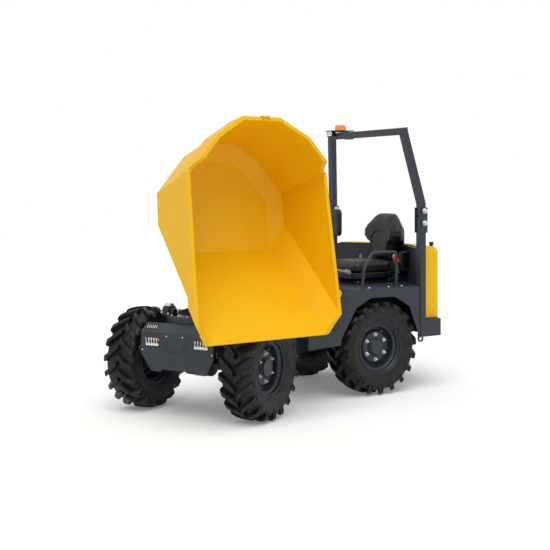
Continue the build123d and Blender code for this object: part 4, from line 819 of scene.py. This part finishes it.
# ------------------------------------------------------------------ turntable
DECK_TOP, DECK_BOLT_R, MOTOR = 0.7463, 0.318, (-0.090, -0.290)
BOLT_STEP, NO_BOLT = 15, (30, 45, 255, 315, 330)      # degrees; the drive and the towers leave no room there
deck_bolts = []
for k in range(360 // BOLT_STEP):
    a = radians(BOLT_STEP * k)
    if BOLT_STEP * k not in NO_BOLT:
        deck_bolts.append(placed(screw(0.016, 0.009), move(DECK_BOLT_R * cos(a), DECK_BOLT_R * sin(a),
                                                           DECK_TOP) @ turn("Z", 7 * k)))
add_piece("turntable_bolts", joined(deck_bolts), ZINC, "turret", TURRET)
motor_at = move(*MOTOR, DECK_TOP)
block = [placed(slab(rounded(0.120, 0.096, 0.02), 0, 0.010, 0.002), motor_at),
         placed(slab(rounded(0.088, 0.084, 0.012), 0.008, 0.056, 0.006), motor_at),
         placed(slab(hexagon(0.045), 0.054, 0.066, 0.003), motor_at),
         placed(slab(rounded(0.05, 0.045, 0.01), 0.012, 0.050, 0.005), motor_at @ move(0.062, 0, 0))]
add_piece("drive_block", joined(block), PLASTIC, "turret", TURRET, ["swivel_motor"])
add_piece("drive_cap", placed(lathe([(0.034, 0.060), (0.034, 0.083), (0.031, 0.086), (0.020, 0.0865)], 40),
                              motor_at), ZINC, "turret",
          TURRET)
drive_screws = [placed(screw(0.014, 0.010), motor_at @ move(x, y, 0.0095))
                for x in (-0.05, 0.05) for y in (-0.038, 0.038)]
add_piece("drive_screws", joined(drive_screws), ZINC, "turret", TURRET)

# ------------------------------------------------------------------ steering wheel
# the ends of the console's face that the column stands on, in X and Z
(x0, z0), (x1, z1) = (0.395, 1.010), (0.440, 1.085)
COLUMN_L, COLUMN_R, WHEEL_R = 0.120, 0.020, 0.175
FACE_SLOPE = -np.degrees(atan2(z1 - z0, x1 - x0))
WHEEL = move((x0 + x1) / 2, 0, (z0 + z1) / 2) @ turn("Y", FACE_SLOPE) @ move(0, 0, COLUMN_L)
a = np.linspace(0, 2 * pi, 48, endpoint=False)
rim_loop = np.stack([WHEEL_R * np.cos(a), WHEEL_R * np.sin(a), np.zeros(48)], -1)
wheel_parts = [sweep(rim_loop, ring_section(0.0135, 12), closed=True)]
for k in range(3):
    t = radians(120 * k)
    spoke = [(0.02 * cos(t), 0.02 * sin(t), -0.004), (0.09 * cos(t), 0.09 * sin(t), -0.012),
             (0.172 * cos(t), 0.172 * sin(t), 0)]
    wheel_parts.append(sweep(smooth_path(spoke, 5), rounded(0.026, 0.007, 0.003)))
wheel_parts.append(lathe([(0.034, -0.014), (0.036, 0.004), (0.033, 0.012), (0.020, 0.015)], 32))
wheel_parts.append(lathe([(COLUMN_R, -COLUMN_L), (COLUMN_R, -0.012)], 24))
add_piece("fine_steering_wheel", placed(joined(wheel_parts), WHEEL), PLASTIC, "rear_frame",
          replaces=["steering_wheel"])
spinner = placed(lathe([(0.006, 0.008), (0.007, 0.02), (0.021, 0.026), (0.023, 0.045), (0.018, 0.054)], 24),
                 WHEEL @ move(-0.12, 0.127, 0))
add_piece("steering_spinner", spinner, PLASTIC, "rear_frame")

# ------------------------------------------------------------------ skip's small parts
lugs = []
eye = move(0.622, 0.282, -0.050)
EYE_RING_R, LIP_CORNER_X = 0.022, 0.524
a = np.linspace(0, 2 * pi, 28, endpoint=False)
loop = np.stack([EYE_RING_R * np.cos(a), EYE_RING_R * np.sin(a), np.zeros(28)], -1)
lugs.append(placed(sweep(loop, rounded(0.014, 0.012, 0.003), closed=True), eye @ move(0.012, 0, 0)))
lugs.append(placed(slab(rounded(0.02, 0.075, 0.004), -0.006, 0.006, 0.002), eye @ move(-0.004, 0, 0)))
for s in (1, -1):
    corner = [(0.0, 0.0), (0.046, 0.070), (0.040, 0.086), (-0.012, 0.014)]
    plate = slab([(s * x, y) for x, y in (corner if s > 0 else corner[::-1])], 0, 0.008, 0.0015)
    lugs.append(placed(plate, move(s * LIP_CORNER_X, -0.004, -0.062) @ turn("X", 18)))
hook = [placed(slab(rounded(0.018, 0.014, 0.003), -0.02, 0.024, 0.003),
               move(x, 1.562, 0.015)) for x in (0.004, 0.050)]
hook.append(placed(slab(rounded(0.064, 0.012, 0.003), -0.022, 0.010, 0.002), move(0.027, 1.562, 0.015)))
add_piece("skip_lugs", joined(lugs + hook), YELLOW, "skip", SHELL)

# ------------------------------------------------------------------ counterweight's tops beside the posts
wing_tops = [placed(slab(rounded(0.19, 0.050, 0.002), 0.0, 0.0375, 0.001), move(-0.505, s * 0.625, 0.5565))
             for s in (1, -1)]
add_piece("bumper_wing_tops", joined(wing_tops), DARK, "rear_frame")

# ------------------------------------------------------------------ finishes of the frame's own pieces
for name, node in NODES.items():
    finish = DARK
    if name in ("skip", "hood"):
        finish = YELLOW
    elif name.startswith("tyre"):
        finish = RUBBER
    elif name in ("steer_barrel", "tip_barrel", "steering_console", "steering_wheel", "seat_base",
                  "mirror_panel"):
        finish = PLASTIC
    elif name in ("engine", "rear_axle", "front_axle", "rear_yoke"):
        finish = CAST
    elif name.endswith("_rod"):
        finish = CHROME
    node.data.materials.clear()
    node.data.materials.append(finish)

# ------------------------------------------------------------------ floor, light and camera
FLOOR = bpy.data.materials.new("white_studio_floor")
FLOOR.use_nodes = True
tree = FLOOR.node_tree


def seen_directly(tree):
    """1 for rays from the camera, off glossy surfaces or through clear ones, else 0."""
    path = add_node(tree, "ShaderNodeLightPath")
    both = add_node(tree, "ShaderNodeMath", {"operation": "MAXIMUM"},
                    {0: path.outputs["Is Camera Ray"], 1: path.outputs["Is Glossy Ray"]})
    return add_node(tree, "ShaderNodeMath", {"operation": "MAXIMUM"},
                    {0: both.outputs[0], 1: path.outputs["Is Transmission Ray"]}).outputs[0]


FLOOR_GLOW, SKY_LIGHT = 0.14, 0.55
FLOOR_HALF, FLOOR_DROP, FLOOR_PAINT = 30, -0.001, 0.95
SOFTBOX_POWER, SOFTBOX_SPREAD, SOFTBOX_TOWARD = 1.65, 50, (-2.2, -3.4, -6.5)
EYE_AT, LOOK_ALONG = [5.317, 7.244, 1.663], (-0.5431, -0.8397, 0)
SENSOR_W, FOCAL_LENGTH, LENS_SHIFT = 36, 67.2, -0.149         # millimetres, and a share of the sensor
shader = tree.nodes["Principled BSDF"]
shader.inputs["Base Color"].default_value = (FLOOR_PAINT, FLOOR_PAINT, FLOOR_PAINT, 1)
shader.inputs["Roughness"].default_value = 1.0
shader.inputs["Specular IOR Level"].default_value = 0.0
shader.inputs["Emission Color"].default_value = (1, 1, 1, 1)
glow = add_node(tree, "ShaderNodeMath", {"operation": "MULTIPLY", 1: FLOOR_GLOW}, {0: seen_directly(tree)})
tree.links.new(glow.outputs[0], shader.inputs["Emission Strength"])
data = bpy.data.meshes.new("floor")
data.from_pydata([(x * FLOOR_HALF, y * FLOOR_HALF, FLOOR_DROP) for x,
                  y in ((-1, -1), (1, -1), (1, 1), (-1, 1))], [], [(0, 1, 2, 3)])
floor = bpy.data.objects.new("floor", data)
bpy.context.scene.collection.objects.link(floor)
data.materials.append(FLOOR)
floor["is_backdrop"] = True

world = bpy.data.worlds.new("studio")
bpy.context.scene.world = world
world.use_nodes = True
sky = world.node_tree.nodes["Background"]
sky.inputs["Color"].default_value = (1, 1, 1, 1)
strength = add_node(world.node_tree, "ShaderNodeMapRange", {"To Min": SKY_LIGHT, "To Max": 1.0},
                    {"Value": seen_directly(world.node_tree)})
world.node_tree.links.new(strength.outputs["Result"], sky.inputs["Strength"])

# broad overhead softbox, as a sun whose disc is wide
data = bpy.data.lights.new("softbox", "SUN")
data.energy, data.angle = SOFTBOX_POWER, radians(SOFTBOX_SPREAD)
softbox = bpy.data.objects.new("softbox", data)
bpy.context.scene.collection.objects.link(softbox)
softbox.rotation_euler = Vector(SOFTBOX_TOWARD).to_track_quat("-Z", "Y").to_euler()

eye = REAR[:3, :3] @ np.array(EYE_AT) + REAR[:3, 3]
camera_data = bpy.data.cameras.new("camera")
camera_data.sensor_width, camera_data.lens, camera_data.shift_y = SENSOR_W, FOCAL_LENGTH, LENS_SHIFT
camera = bpy.data.objects.new("camera", camera_data)
bpy.context.scene.collection.objects.link(camera)
camera.location = eye.tolist()
camera.rotation_euler = Vector(LOOK_ALONG).to_track_quat("-Z", "Y").to_euler()
bpy.context.scene.camera = camera
bpy.context.scene.view_settings.view_transform = "Standard"

size_log["made"] = plain(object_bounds())
